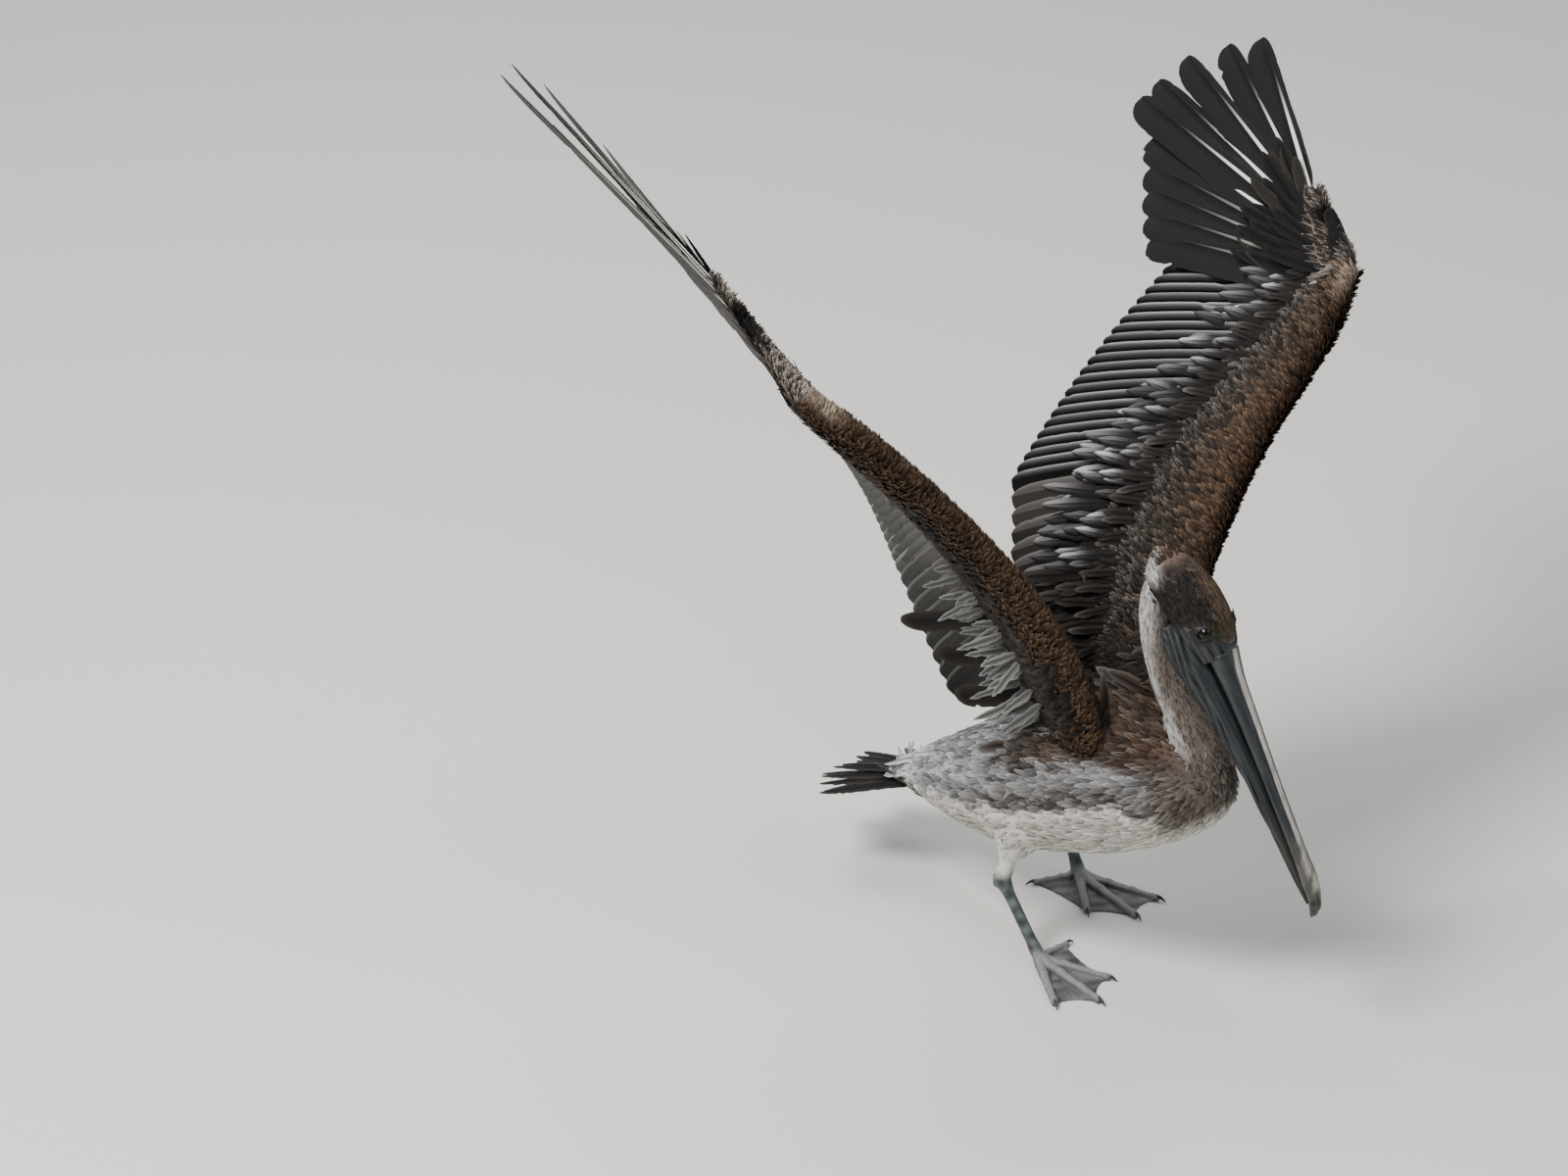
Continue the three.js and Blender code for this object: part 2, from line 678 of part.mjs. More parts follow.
// The web between two toes: a thin flat sheet with a hollow front edge.
function webSheet(leg, toeA, toeB) {
  const base = vec(leg.foot);
  const reachA = toeA.length - CLAW_LENGTH - 2;
  const reachB = toeB.length - CLAW_LENGTH - 2;
  const a = toeDirection(leg, toeA).multiplyScalar(reachA);
  const b = toeDirection(leg, toeB).multiplyScalar(reachB);
  const hollow = a.clone().add(b).multiplyScalar(0.5 * 0.8);
  const shape = new THREE.Shape();
  shape.moveTo(0, 0);
  shape.lineTo(a.x, a.y);
  shape.quadraticCurveTo(hollow.x, hollow.y, b.x, b.y);
  shape.closePath();
  const sheet = new THREE.ExtrudeGeometry(shape, {
    depth: WEB_THICK,
    bevelEnabled: false,
    curveSegments: 3,
  });
  sheet.translate(base.x, base.y, 0);
  return solidOf(sheet);
}

function footSolid(leg) {
  const pieces = TOES.map((toe) => toeBar(leg, toe));
  for (let i = 0; i < TOES.length - 1; i++) pieces.push(webSheet(leg, TOES[i], TOES[i + 1]));
  const knob = new THREE.SphereGeometry(TARSUS_RADIUS + 2, 8, 6);
  knob.translate(leg.foot[0], leg.foot[1], FOOT_RISE);
  pieces.push(solidOf(knob));
  return joinAll(pieces);
}

function clawSolid(leg, toe) {
  const direction = toeDirection(leg, toe);
  const start = toe.length - CLAW_LENGTH + 3 * GAP;
  const radius = toe.radius * 0.6;
  const from = vec(leg.foot).addScaledVector(direction, start).setZ(radius);
  const to = vec(leg.foot).addScaledVector(direction, start + CLAW_LENGTH).setZ(0.8);
  return limb(from, to, radius, 0.6, 6, 1);
}

// ---------------------------------------------------------------- assembly
const group = new THREE.Group();
const FINISHES = {
  plumage: { color: 0x6b5a4a, roughness: 0.9, metalness: 0 },
  belly: { color: 0xd8d2c4, roughness: 0.9, metalness: 0 },
  flight: { color: 0x2a2624, roughness: 0.65, metalness: 0 },
  bill: { color: 0x5c6468, roughness: 0.5, metalness: 0 },
  leg: { color: 0x59635f, roughness: 0.6, metalness: 0 },
  claw: { color: 0x2b2a28, roughness: 0.4, metalness: 0 },
  eye: { color: 0x0b0a0a, roughness: 0.1, metalness: 0 },
};
const body = new THREE.Group();
group.add(body);
function addNode(name, solid, finish) {
  const mesh = new THREE.Mesh(geometryOf(solid), new THREE.MeshStandardMaterial(FINISHES[finish]));
  mesh.name = name;
  body.add(mesh);
}

const trunkRoom = trunkBody(GAP);
const neckRoom = neckLength(0, 1, GAP);
const headRoom = headBody(HEAD, HEAD_SIDES, GAP);
const upperBillRoom = headBody(UPPER_BILL, BILL_SIDES, GAP);

function addTrunkNeckAndHead() {
  addNode("trunk", trunkBody(0), "belly");
  ["neck_lower", "neck_middle", "neck_upper"].forEach((name, i) => {
    const length = neckLength(NECK_SPLITS[i], NECK_SPLITS[i + 1], 0);
    addNode(name, mainBody(length.subtract(trunkRoom).subtract(headRoom)), "plumage");
  });
  const head = headBody(HEAD, HEAD_SIDES).subtract(eyeBall(1, GAP)).subtract(eyeBall(-1, GAP));
  addNode("head", head, "plumage");
  addNode("eye_left", eyeBall(1, 0), "eye");
  addNode("eye_right", eyeBall(-1, 0), "eye");
  addNode("bill_upper", headBody(UPPER_BILL, BILL_SIDES), "bill");
  const pouch = headBody(LOWER_BILL, BILL_SIDES)
    .subtract(headRoom)
    .subtract(neckRoom)
    .subtract(upperBillRoom);
  addNode("bill_lower_and_pouch", mainBody(pouch), "bill");
  addNode("tail", mainBody(tailFan().subtract(trunkRoom)), "flight");
}

function addWing(side, wing) {
  const frame = wingFrame(wing, side === "left" ? 1 : -1);
  const lastSlice = ARM_SLICES.length - 1;
  const armRoom = armPart(frame, 0, lastSlice, GAP);
  const handRoom = handPart(frame, GAP);
  const upperArm = armPart(frame, 0, ELBOW_SLICE, 0).subtract(trunkRoom).subtract(neckRoom);
  const forearm = armPart(frame, ELBOW_SLICE, lastSlice, 0);
  addNode(`wing_${side}_upper_arm`, mainBody(upperArm), "plumage");
  addNode(`wing_${side}_forearm`, forearm, "plumage");
  addNode(`wing_${side}_hand`, mainBody(handPart(frame, 0).subtract(armRoom)), "plumage");
  // The primaries and secondaries part on a plane through the wrist, along the feathers there.
  const away = new THREE.Vector3().crossVectors(vec(wing.wristward), frame.handUpper).normalize();
  if (away.dot(frame.outward) < 0) away.negate();
  const cut = frame.wrist.clone().addScaledVector(away, 6);
  const cutBack = cut.clone().addScaledVector(away, -GAP);
  const primaries = fanSolid(primaryFeathers(wing, frame), PRIMARY_COVERTS, COVERT_THICK - 1)
    .intersect(halfSpace(cut, away))
    .subtract(armRoom)
    .subtract(handRoom);
  const secondaries = fanSolid(secondaryFeathers(wing, frame), SECONDARY_COVERTS, COVERT_THICK)
    .intersect(halfSpace(cutBack, away.clone().negate()))
    .subtract(armRoom)
    .subtract(handRoom)
    .subtract(trunkRoom);
  addNode(`wing_${side}_primaries`, mainBody(primaries), "flight");
  addNode(`wing_${side}_secondaries`, mainBody(secondaries), "flight");
}

const ballAt = (place, radius) => {
  const ball = new THREE.SphereGeometry(radius, 8, 6);
  ball.translate(place.x, place.y, place.z);
  return solidOf(ball);
};

function addLeg(side, leg) {
  const hip = vec(leg.hip);
  const ankle = vec(leg.ankle);
  const foot = vec(leg.foot).setZ(FOOT_RISE);
  const knob = TARSUS_RADIUS + 2;
  const thighEnd = ankle.clone().add(hip.clone().sub(ankle).setLength(knob - 2));
  const thigh = limb(hip, thighEnd, 34, 9, LIMB_SIDES, 2)
    .subtract(trunkRoom)
    .subtract(ballAt(ankle, knob + GAP));
  const tarsus = limb(ankle, foot, TARSUS_RADIUS, TARSUS_RADIUS - 1, LIMB_SIDES, 1)
    .add(ballAt(ankle, knob))
    .subtract(ballAt(foot, knob + GAP));
  addNode(`thigh_${side}`, mainBody(thigh), "belly");
  addNode(`tarsus_${side}`, mainBody(tarsus), "leg");
  addNode(`foot_${side}`, footSolid(leg), "leg");
  for (const toe of TOES) addNode(`claw_${side}_${toe.name}`, clawSolid(leg, toe), "claw");
}

addTrunkNeckAndHead();
for (const [side, wing] of Object.entries(WINGS)) addWing(side, wing);
for (const [side, leg] of Object.entries(LEGS)) addLeg(side, leg);

// The origin is the middle of the whole bird's box, on the ground.
const box = new THREE.Box3().setFromObject(group);
const centre = box.getCenter(new THREE.Vector3());
body.position.set(-centre.x, -centre.y, -box.min.z);

export default group;
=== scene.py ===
# %% [markdown]
# # A young brown pelican with its wings raised
# A life-size still model of a bird that stands with its bill down and both wings up.
# It is made of one skin, a coat of small feathers over it, large flight feathers, a bill with
# its throat pouch, two eyes and webbed feet. Everything is in metres, in the frame of the solids.

# %% Tools and the frame
import math
from types import SimpleNamespace as Record

import bpy
import numpy as np
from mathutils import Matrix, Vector
from mathutils.bvhtree import BVHTree


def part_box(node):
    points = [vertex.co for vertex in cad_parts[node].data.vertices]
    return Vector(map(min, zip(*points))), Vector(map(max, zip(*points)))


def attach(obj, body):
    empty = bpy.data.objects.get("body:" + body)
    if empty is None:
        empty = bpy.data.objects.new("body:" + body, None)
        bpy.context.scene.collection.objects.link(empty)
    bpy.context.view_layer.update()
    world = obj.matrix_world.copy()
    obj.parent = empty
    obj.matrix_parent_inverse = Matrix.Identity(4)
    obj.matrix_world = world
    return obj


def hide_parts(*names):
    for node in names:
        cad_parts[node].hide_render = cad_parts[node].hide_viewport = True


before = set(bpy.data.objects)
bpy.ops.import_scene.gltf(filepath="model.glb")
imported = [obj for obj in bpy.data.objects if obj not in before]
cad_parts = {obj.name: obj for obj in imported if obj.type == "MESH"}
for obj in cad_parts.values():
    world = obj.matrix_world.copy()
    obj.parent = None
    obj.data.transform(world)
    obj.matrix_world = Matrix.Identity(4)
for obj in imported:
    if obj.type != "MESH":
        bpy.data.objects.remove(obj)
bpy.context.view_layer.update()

# %% [markdown]
# ## Small tools in arrays
# Tens of thousands of feathers can't be made one by one, so points, directions and colours are
# kept as arrays with one row for each feather or corner, and each mesh is filled in one go.

# %% Points, ways and curves
outer = np.multiply.outer
LEFT = np.array([1.0, 0.0, 0.0])
UP = np.array([0.0, 0.0, 1.0])
WHOLE_TURN = 2 * math.pi


def unit(rows):
    rows = np.asarray(rows, float)
    return rows / np.maximum(np.linalg.norm(rows, axis=-1, keepdims=True), 1e-12)


def dot(a, b):
    return np.sum(a * b, axis=-1, keepdims=True)


def square_to(way, axis):
    """The part of a way that is at right angles to an axis, with length 1."""
    return unit(way - dot(way, axis) * axis)


def direction(azimuth, elevation=0.0):
    """A way with length 1. Azimuth 0 is ahead of the bird and 90 is on its left."""
    a = np.radians(azimuth)
    e = np.radians(elevation)
    return np.stack([np.sin(a) * np.cos(e), -np.cos(a) * np.cos(e), np.sin(e) + 0 * a], axis=-1)


def step(values, low, high):
    """Rises smoothly from 0 at low to 1 at high."""
    t = np.clip((values - low) / (high - low), 0, 1)
    return t * t * (3 - 2 * t)


def hump(values, middle, width):
    """1 at the middle, and falls smoothly to 0 on both sides."""
    return np.exp(-((values - middle) / width) ** 2)


def mix(a, b, t):
    return a + (b - a) * t


def through(knots, values, at):
    """A smooth curve through the values at the knots, read at many places."""
    knots = np.asarray(knots, float)
    values = np.asarray(values, float)
    at = np.clip(at, knots[0], knots[-1])
    k = np.clip(np.searchsorted(knots, at, side="right") - 1, 0, len(knots) - 2)
    slopes = np.gradient(values, knots, axis=0)
    width = knots[k + 1] - knots[k]
    t = (at - knots[k]) / width
    if values.ndim > 1:
        t = t[..., None]
        width = width[..., None]
    return ((2 * t**3 - 3 * t**2 + 1) * values[k] + (t**3 - 2 * t**2 + t) * width * slopes[k]
            + (3 * t**2 - 2 * t**3) * values[k + 1] + (t**3 - t**2) * width * slopes[k + 1])


WAVES = 7


def ripple(points, size, seed):
    """A soft random field in space with bumps of about this size, from -1 to 1."""
    rng = np.random.default_rng(seed)
    total = np.zeros(len(points))
    for _ in range(WAVES):
        wave = unit(rng.normal(size=3)) * (WHOLE_TURN / size) * rng.uniform(0.6, 1.5)
        total += np.sin(points @ wave + rng.uniform(0, WHOLE_TURN))
    return total / 4


def patches(points, size, seed, gain=0.5, middle=0.5):
    """The same field, cut off at 0 and 1."""
    return np.clip(middle + gain * ripple(points, size, seed), 0, 1)


# %% Colours
def srgb(red, green, blue):
    """A colour as seen on a screen, from 0 to 255, as linear light."""
    values = np.array([red, green, blue]) / 255
    return np.where(values <= 0.04045, values / 12.92, ((values + 0.055) / 1.055) ** 2.4)


def blend(a, b, t):
    """Mixes two colours, or rows of colours, by one number for each row."""
    return mix(np.asarray(a), np.asarray(b), np.asarray(t)[..., None])


def painted(colour, *coats):
    """Lays coats over a colour. Each coat is a colour and how much of it shows."""
    for coat, share in coats:
        colour = blend(colour, coat, share)
    return colour


# %% [markdown]
# ## The bird's own frame
# The bird faces -Y and its left side is +X. Its parts are placed in a frame that starts on the
# ground below the middle of the body. The two eyes are fixed in the solids, so the point midway
# between them ties that frame to the solids' frame.

# %% Where the bird's frame lies
EYES_MIDDLE = np.array([0.0, -0.172, 0.361])


def middle_of(node):
    low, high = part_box(node)
    return (np.array(low) + np.array(high)) / 2


BIRD = (middle_of("eye_left") + middle_of("eye_right")) / 2 - EYES_MIDDLE
print("the bird's frame starts at", BIRD.round(4))

# %% [markdown]
# ## Camera
# The camera stands well back with a long lens and looks down on the bird from ahead of its right
# side. A long lens keeps the proportions of a bird that is seen from several metres away.

# %% Camera
CAMERA_WAY = direction(-46, 24.82)
CAMERA_DISTANCE = 6.49
CAMERA_LENS = 166.0
AIM = np.array([-0.1644, 0.1966, 0.3347])


def look_back(name, data, aim, way, distance):
    """Puts a camera or lamp out along a way from a point of the bird, facing that point."""
    holder = bpy.data.objects.new(name, data)
    holder.location = BIRD + aim + distance * way
    holder.rotation_mode = "QUATERNION"
    holder.rotation_quaternion = Vector(-way).to_track_quat("-Z", "Y")
    bpy.context.scene.collection.objects.link(holder)
    return holder


lens = bpy.data.cameras.new("camera")
lens.lens = CAMERA_LENS
lens.clip_end = 50
camera = look_back("camera", lens, AIM, CAMERA_WAY, CAMERA_DISTANCE)
bpy.context.scene.camera = camera
print("camera at", [round(x, 2) for x in camera.location])

# %% [markdown]
# ## Studio
# A plain pale floor and three soft lamps. The strongest lamp is high on the bird's right, where
# it rakes over the feathers and brings out their edges. A larger and weaker lamp ahead of the
# bird and the world's pale light fill the shadows, and a third lamp lights it from behind.


# %% Helper for materials
class Look:
    """A material with one shader, and short ways to put nodes before it."""

    def __init__(self, name, roughness, shine=0.5):
        self.material = bpy.data.materials.new(name)
        self.material.use_nodes = True
        self.tree = self.material.node_tree
        self.tree.nodes.clear()
        self.surface = {"Roughness": roughness, "Specular IOR Level": shine}

    def node(self, kind, inputs, output=0, **settings):
        """Adds a node. Each input is a number, a colour or the output of another node."""
        node = self.tree.nodes.new(kind)
        for key, value in settings.items():
            setattr(node, key, value)
        for key, value in inputs.items():
            if isinstance(value, bpy.types.NodeSocket):
                self.tree.links.new(value, node.inputs[key])
            elif value is not None:
                node.inputs[key].default_value = value
        return node.outputs[output]

    def place(self):
        return self.node("ShaderNodeTexCoord", {}, "Object")

    def attribute(self, name, output):
        return self.node("ShaderNodeAttribute", {}, output, attribute_name=name)

    def vane(self):
        """The three numbers of the vane attribute, apart."""
        return self.node("ShaderNodeSeparateXYZ", {0: self.attribute("vane", "Vector")}).node.outputs

    def noise(self, place, scale, detail=3.0, roughness=0.55):
        inputs = {"Vector": place, "Scale": scale, "Detail": detail, "Roughness": roughness}
        return self.node("ShaderNodeTexNoise", inputs, "Fac")

    def math(self, operation, *values):
        return self.node("ShaderNodeMath", dict(enumerate(values)), operation=operation)

    def spread(self, value, low, high):
        """Moves a value from 0..1 to low..high."""
        return self.node("ShaderNodeMapRange", {"Value": value, "To Min": low, "To Max": high}, "Result")

    def mixed(self, factor, first, second, way="MIX"):
        inputs = {0: factor, 6: first, 7: second}
        return self.node("ShaderNodeMix", inputs, 2, data_type="RGBA", blend_type=way)

    def finished(self, colour, normal=None):
        inputs = {"Base Color": colour, "Normal": normal, **self.surface}
        shader = self.node("ShaderNodeBsdfPrincipled", inputs)
        self.tree.links.new(shader, self.tree.nodes.new("ShaderNodeOutputMaterial").inputs["Surface"])
        return self.material

    def marked(self, tone, height, strength, distance):
        """The material with its markings times a tone, and a relief of this height."""
        colour = self.mixed(1.0, self.attribute("markings", "Color"), tone, "MULTIPLY")
        relief = {"Height": height, "Strength": strength, "Distance": distance}
        return self.finished(colour, self.node("ShaderNodeBump", relief))


# %% Floor, lamps and world
FLOOR_HALF = 9.0
LAMP_AIM = np.array([0, 0, 0.35])
look = Look("studio_floor", 0.8)
floor_colour = look.mixed(look.noise(None, 3.0), (*srgb(214, 212, 208), 1.0), (*srgb(224, 223, 220), 1.0))
floor_mesh = bpy.data.meshes.new("studio_floor")
floor_corners = [(x * FLOOR_HALF, y * FLOOR_HALF, 0) for x, y in ((-1, -1), (1, -1), (1, 1), (-1, 1))]
floor_mesh.from_pydata(floor_corners, [], [(0, 1, 2, 3)])
floor_mesh.materials.append(look.finished(floor_colour))
studio_floor = bpy.data.objects.new("studio_floor", floor_mesh)
bpy.context.scene.collection.objects.link(studio_floor)
for name, azimuth, elevation, distance, size, watts, colour in (
    ("lamp_key", -100, 52, 3.2, 1.3, 150, (1.0, 0.975, 0.94)),
    ("lamp_fill", 25, 40, 3.6, 2.2, 34, (0.93, 0.96, 1.0)),
    ("lamp_back", 160, 50, 3.4, 1.6, 55, (1.0, 0.98, 0.95)),
):
    lamp = bpy.data.lights.new(name, "AREA")
    lamp.energy = watts
    lamp.size = size
    lamp.color = colour
    look_back(name, lamp, LAMP_AIM, direction(azimuth, elevation), distance)
world = bpy.data.worlds.new("studio")
bpy.context.scene.world = world
world.use_nodes = True
background = world.node_tree.nodes["Background"]
background.inputs["Color"].default_value = (0.86, 0.9, 0.95, 1)
background.inputs["Strength"].default_value = 0.42

# %% [markdown]
# ## From arrays to meshes
# Each piece is one mesh that is filled from arrays of points, faces and colours. The markings
# are painted on its corners, and most shapes are rings that follow each other round an axis.

# %% Filling and reading a mesh
PALEST = 0.72
DEEPENING = 0.34


def fill(rows, key, values, kind=np.float32):
    rows.foreach_set(key, values.astype(kind).ravel())


def read(rows, key, wide=3, kind=np.float32):
    values = np.zeros(len(rows) * wide, kind)
    rows.foreach_get(key, values)
    return values.reshape(-1, wide)


def deepened(colours):
    """Darkens the dark tones most and leaves the palest as they are, without a change of hue."""
    grey = np.clip(colours.mean(axis=1, keepdims=True) / PALEST, 0.001, 1)
    return colours * grey**DEEPENING


def make_piece(name, points, faces, materials, colours, slots=None, vane=None, uv=None, sharp=None):
    """points are rows in the bird's frame and faces a list of arrays of 3 or 4 corners."""
    mesh = bpy.data.meshes.new(name)
    corners = np.concatenate([f.ravel() for f in faces])
    totals = np.concatenate([np.full(len(f), f.shape[1]) for f in faces])
    mesh.vertices.add(len(points))
    mesh.loops.add(len(corners))
    mesh.polygons.add(len(totals))
    fill(mesh.vertices, "co", points + BIRD)
    fill(mesh.loops, "vertex_index", corners, np.int32)
    fill(mesh.polygons, "loop_start", np.cumsum(totals) - totals, np.int32)
    mesh.update(calc_edges=True)
    fill(mesh.polygons, "use_smooth", np.ones(len(totals)), bool)
    for material in materials:
        mesh.materials.append(material)
    layer = mesh.color_attributes.new("markings", "FLOAT_COLOR", "POINT")
    opaque = np.ones((len(colours), 1))
    fill(layer.data, "color", np.concatenate([np.clip(deepened(colours), 0, 1), opaque], axis=1))
    if slots is not None:
        fill(mesh.polygons, "material_index", slots, np.int32)
    if vane is not None:
        fill(mesh.attributes.new("vane", "FLOAT_VECTOR", "POINT").data, "vector", vane)
    if uv is not None:
        fill(mesh.uv_layers.new(name="OFBake").uv, "vector", uv if len(uv) == len(corners) else uv[corners])
    if sharp is not None:
        sharp = sharp[read(mesh.edges, "vertices", 2, np.int32)].all(axis=1)
        fill(mesh.attributes.new("sharp_edge", "BOOLEAN", "EDGE").data, "value", sharp, bool)
    piece = bpy.data.objects.new(name, mesh)
    bpy.context.scene.collection.objects.link(piece)
    print(name, "triangles", int((totals - 2).sum()))
    return piece


def hand_over(piece, slot, *nodes):
    """The piece stands still with the bird and replaces these solids. The slot is not used."""
    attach(piece, "root")
    if nodes:
        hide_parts(*nodes)


def mesh_arrays(mesh):
    """The corners of a mesh, the way out at each, and the triangles."""
    mesh.calc_loop_triangles()
    triangles = read(mesh.loop_triangles, "vertices", 3, np.int32)
    return read(mesh.vertices, "co").astype(float), read(mesh.vertices, "normal"), triangles


# %% Rings and closed shapes
def grid_faces(rings, sides):
    """The four-cornered faces between closed rings that follow each other."""
    r, s = np.meshgrid(np.arange(rings - 1), np.arange(sides), indexing="ij")
    a = r * sides + s
    b = r * sides + (s + 1) % sides
    return np.stack([a, b, b + sides, a + sides], axis=-1).reshape(-1, 4)


def closed_faces(rings, sides):
    """The same, with three-cornered faces from the end rings to two hubs that follow the rings."""
    s = np.arange(sides)
    after = (s + 1) % sides
    last = (rings - 1) * sides
    near = np.stack([0 * s + rings * sides, after, s], axis=-1)
    far = np.stack([0 * s + rings * sides + 1, last + s, last + after], axis=-1)
    return [grid_faces(rings, sides), np.concatenate([near, far])]


def loft(rings):
    """Closed rings as one closed surface: points, and faces that face outwards."""
    hubs = [rings[0].mean(0), rings[-1].mean(0)]
    return np.concatenate([rings.reshape(-1, 3), hubs]), closed_faces(*rings.shape[:2])


def joined(shapes):
    """Several shapes, each of points and a list of faces, as one."""
    firsts = np.cumsum([0] + [len(points) for points, _ in shapes])
    faces = [f + first for (_, groups), first in zip(shapes, firsts) for f in groups]
    return np.concatenate([points for points, _ in shapes]), faces


def even_turns(count):
    return np.arange(count) / count * WHOLE_TURN


# %% [markdown]
# ## The head's frame and the wings' frames
# The bill points steeply down and the head leans a little to one side, so the head has axes of
# its own: ahead along the bill, up through the crown, and to the left. Each wing runs from the
# shoulder to the wrist and bows up on the way, and the hand turns outwards from there. Skin,
# coat and flight feathers all read these frames, which is why they fit each other.

# %% Head axes
BILL_PITCH = -59
HEAD_YAW = 4.5
HEAD_ROLL = math.radians(-10)
ahead = direction(HEAD_YAW, BILL_PITCH)
crown_plain = unit(np.cross(ahead, LEFT))
crownward = unit(crown_plain * math.cos(HEAD_ROLL) + np.cross(ahead, crown_plain) * math.sin(HEAD_ROLL))
head_left = unit(np.cross(crownward, ahead))
print("ahead along the bill", ahead.round(3), "crownward", crownward.round(3))


def in_head(forward, up, left):
    """Points given in the head's own axes, in the bird's frame."""
    return EYES_MIDDLE + outer(forward, ahead) + outer(up, crownward) + outer(left, head_left)


def head_axes_of(points):
    """How far ahead, up and left of the point between the eyes each point lies."""
    away = points - EYES_MIDDLE
    return away @ ahead, away @ crownward, away @ head_left


def head_rings(turns, forward, knots, sizes):
    """Rings round the head's long axis: turn, forward, middle height, half height, half width."""
    turn, forward = np.meshgrid(turns, forward)
    top, bottom, wide = np.moveaxis(through(knots, sizes, forward), -1, 0)
    return turn, forward, (top + bottom) / 2, (top - bottom) / 2, wide


# %% Wing frames
HUMERUS = 0.215
ULNA = 0.240
HAND = 0.105
WING_ARCH = 0.034
WINGS = {
    "left": Record(
        shoulder=[0.050, -0.062, 0.236], wrist=[0.312, -0.049, 0.568], tip=[0.583, 0.290, 0.640],
        chord=[-0.21, 0.943, -0.264], tertial=[-0.28, 0.88, -0.38], inner=[-0.2, 0.945, -0.26],
        wristward=[-0.105, 0.982, -0.132], hand_lift=0.0, tertial_length=0.140, outer_bow=0.020,
        splay=0.35, side=1),
    "right": Record(
        shoulder=[-0.050, -0.062, 0.236], wrist=[-0.251, 0.086, 0.575], tip=[-0.231, 0.471, 0.787],
        chord=[0.52, 0.67, -0.49], tertial=[0.4, 0.72, -0.56], inner=[0.56, 0.67, -0.47],
        wristward=[0.63, 0.69, -0.34], hand_lift=0.06, tertial_length=0.202, outer_bow=0.004,
        splay=1.0, side=-1),
}


def wing_arch(along):
    return WING_ARCH * np.sin(math.pi * np.clip(along, 0, 1) ** 0.75)


def set_wing_frame(wing):
    """Turns the lists into arrays and adds the axes of the arm and hand, and the elbow."""
    for key, value in vars(wing).items():
        setattr(wing, key, np.array(value) if isinstance(value, list) else value)
    wing.reach = np.linalg.norm(wing.wrist - wing.shoulder)
    wing.span = (wing.wrist - wing.shoulder) / wing.reach
    wing.back = square_to(wing.chord, wing.span)
    wing.upper = unit(np.cross(wing.span, wing.back) * wing.side)
    straight = unit(wing.tip - wing.wrist)
    wing.hand_back = square_to(wing.wristward, straight)
    lifted = unit(np.cross(straight, wing.hand_back) * wing.side)
    wing.outward = unit(straight + wing.hand_lift * lifted)
    wing.hand_upper = square_to(lifted, wing.outward)
    along_bone = (HUMERUS**2 - ULNA**2 + wing.reach**2) / (2 * wing.reach)
    behind = math.sqrt(max(HUMERUS**2 - along_bone**2, 0))
    arch = wing_arch(along_bone / wing.reach)
    wing.elbow = wing.shoulder + wing.span * along_bone + wing.back * behind + wing.upper * arch


for side_name, wing in WINGS.items():
    set_wing_frame(wing)
    print(side_name, "wing: shoulder to wrist", round(wing.reach, 3), "elbow", wing.elbow.round(3))

# %% Surfaces of the fleshy arm and hand
# How far the front edge stands before the bone line, the chord and the thickness, in mm.
ARM_ALONG = [-0.06, 0.1, 0.26, 0.42, 0.58, 0.74, 0.88, 0.98]
ARM_SIZES = np.array([
    [24, 128, 58], [24, 138, 60], [22, 146, 58], [20, 143, 54],
    [19, 126, 50], [24, 107, 48], [24, 84, 46], [15, 62, 40]]) / 1000
HAND_ALONG = [0.06, 0.3, 0.65, 1.0, 1.4]
HAND_SIZES = np.array([[12, 59, 37], [15, 57, 29], [9, 44, 20], [7, 34, 14], [5, 22, 9]]) / 1000


def limb_place(front, back, upper, knots, sizes, along, turn, sink):
    """Points round a limb. turn 0 is the front edge, +1 the rear over the upper face and -1 the
    rear over the lower face. sink moves the points in below the surface."""
    ahead_of_bone, chord, thick = through(knots, sizes, along).T
    angle = turn * math.pi
    rear = (1 - np.cos(angle)) / 2
    rise = np.sin(angle) * (thick / 2 * (1 - 0.7 * rear) - sink)
    depth = rear * chord - ahead_of_bone + sink * np.cos(angle)
    return front + outer(depth, back) + outer(rise, upper)


def arm_place(wing, along, turn, sink):
    """Points on the arm, from the shoulder at 0 to the wrist at 1."""
    front = wing.shoulder + outer(along * wing.reach, wing.span) + outer(wing_arch(along), wing.upper)
    return limb_place(front, wing.back, wing.upper, ARM_ALONG, ARM_SIZES, along, turn, sink)


def hand_place(wing, along, turn, sink):
    """Points on the hand, from the wrist out to the roots of the last primaries."""
    front = wing.wrist + outer(along * HAND, wing.outward)
    return limb_place(front, wing.hand_back, wing.hand_upper, HAND_ALONG, HAND_SIZES, along, turn, sink)


# %% [markdown]
# ## Markings
# A young brown pelican is grey-brown above, with a dark flank band, a cream belly and a silvery
# rump. Skin and feathers read the same functions of place, so that no bare skin shows as a
# patch of another colour between two feathers.

# %% Palette of the plumage
WARM_BROWN = srgb(108, 84, 66)
DEEP_BROWN = srgb(56, 42, 34)
FRINGE_BROWN = srgb(142, 116, 92)
MANTLE = srgb(98, 86, 78)
MANTLE_DARK = srgb(48, 41, 38)
SILVER = srgb(184, 187, 190)
CREAM = srgb(220, 217, 207)
FLANK = srgb(114, 104, 96)
NECK_PALE = srgb(206, 206, 204)
NECK_BROWN = srgb(122, 111, 102)
HEAD_DARK = srgb(40, 34, 32)
HEAD_BROWN = srgb(98, 78, 62)
FLIGHT_BLACK = srgb(22, 20, 21)
LEG_GREY = srgb(114, 123, 124)
WEB_GREY = srgb(132, 134, 132)

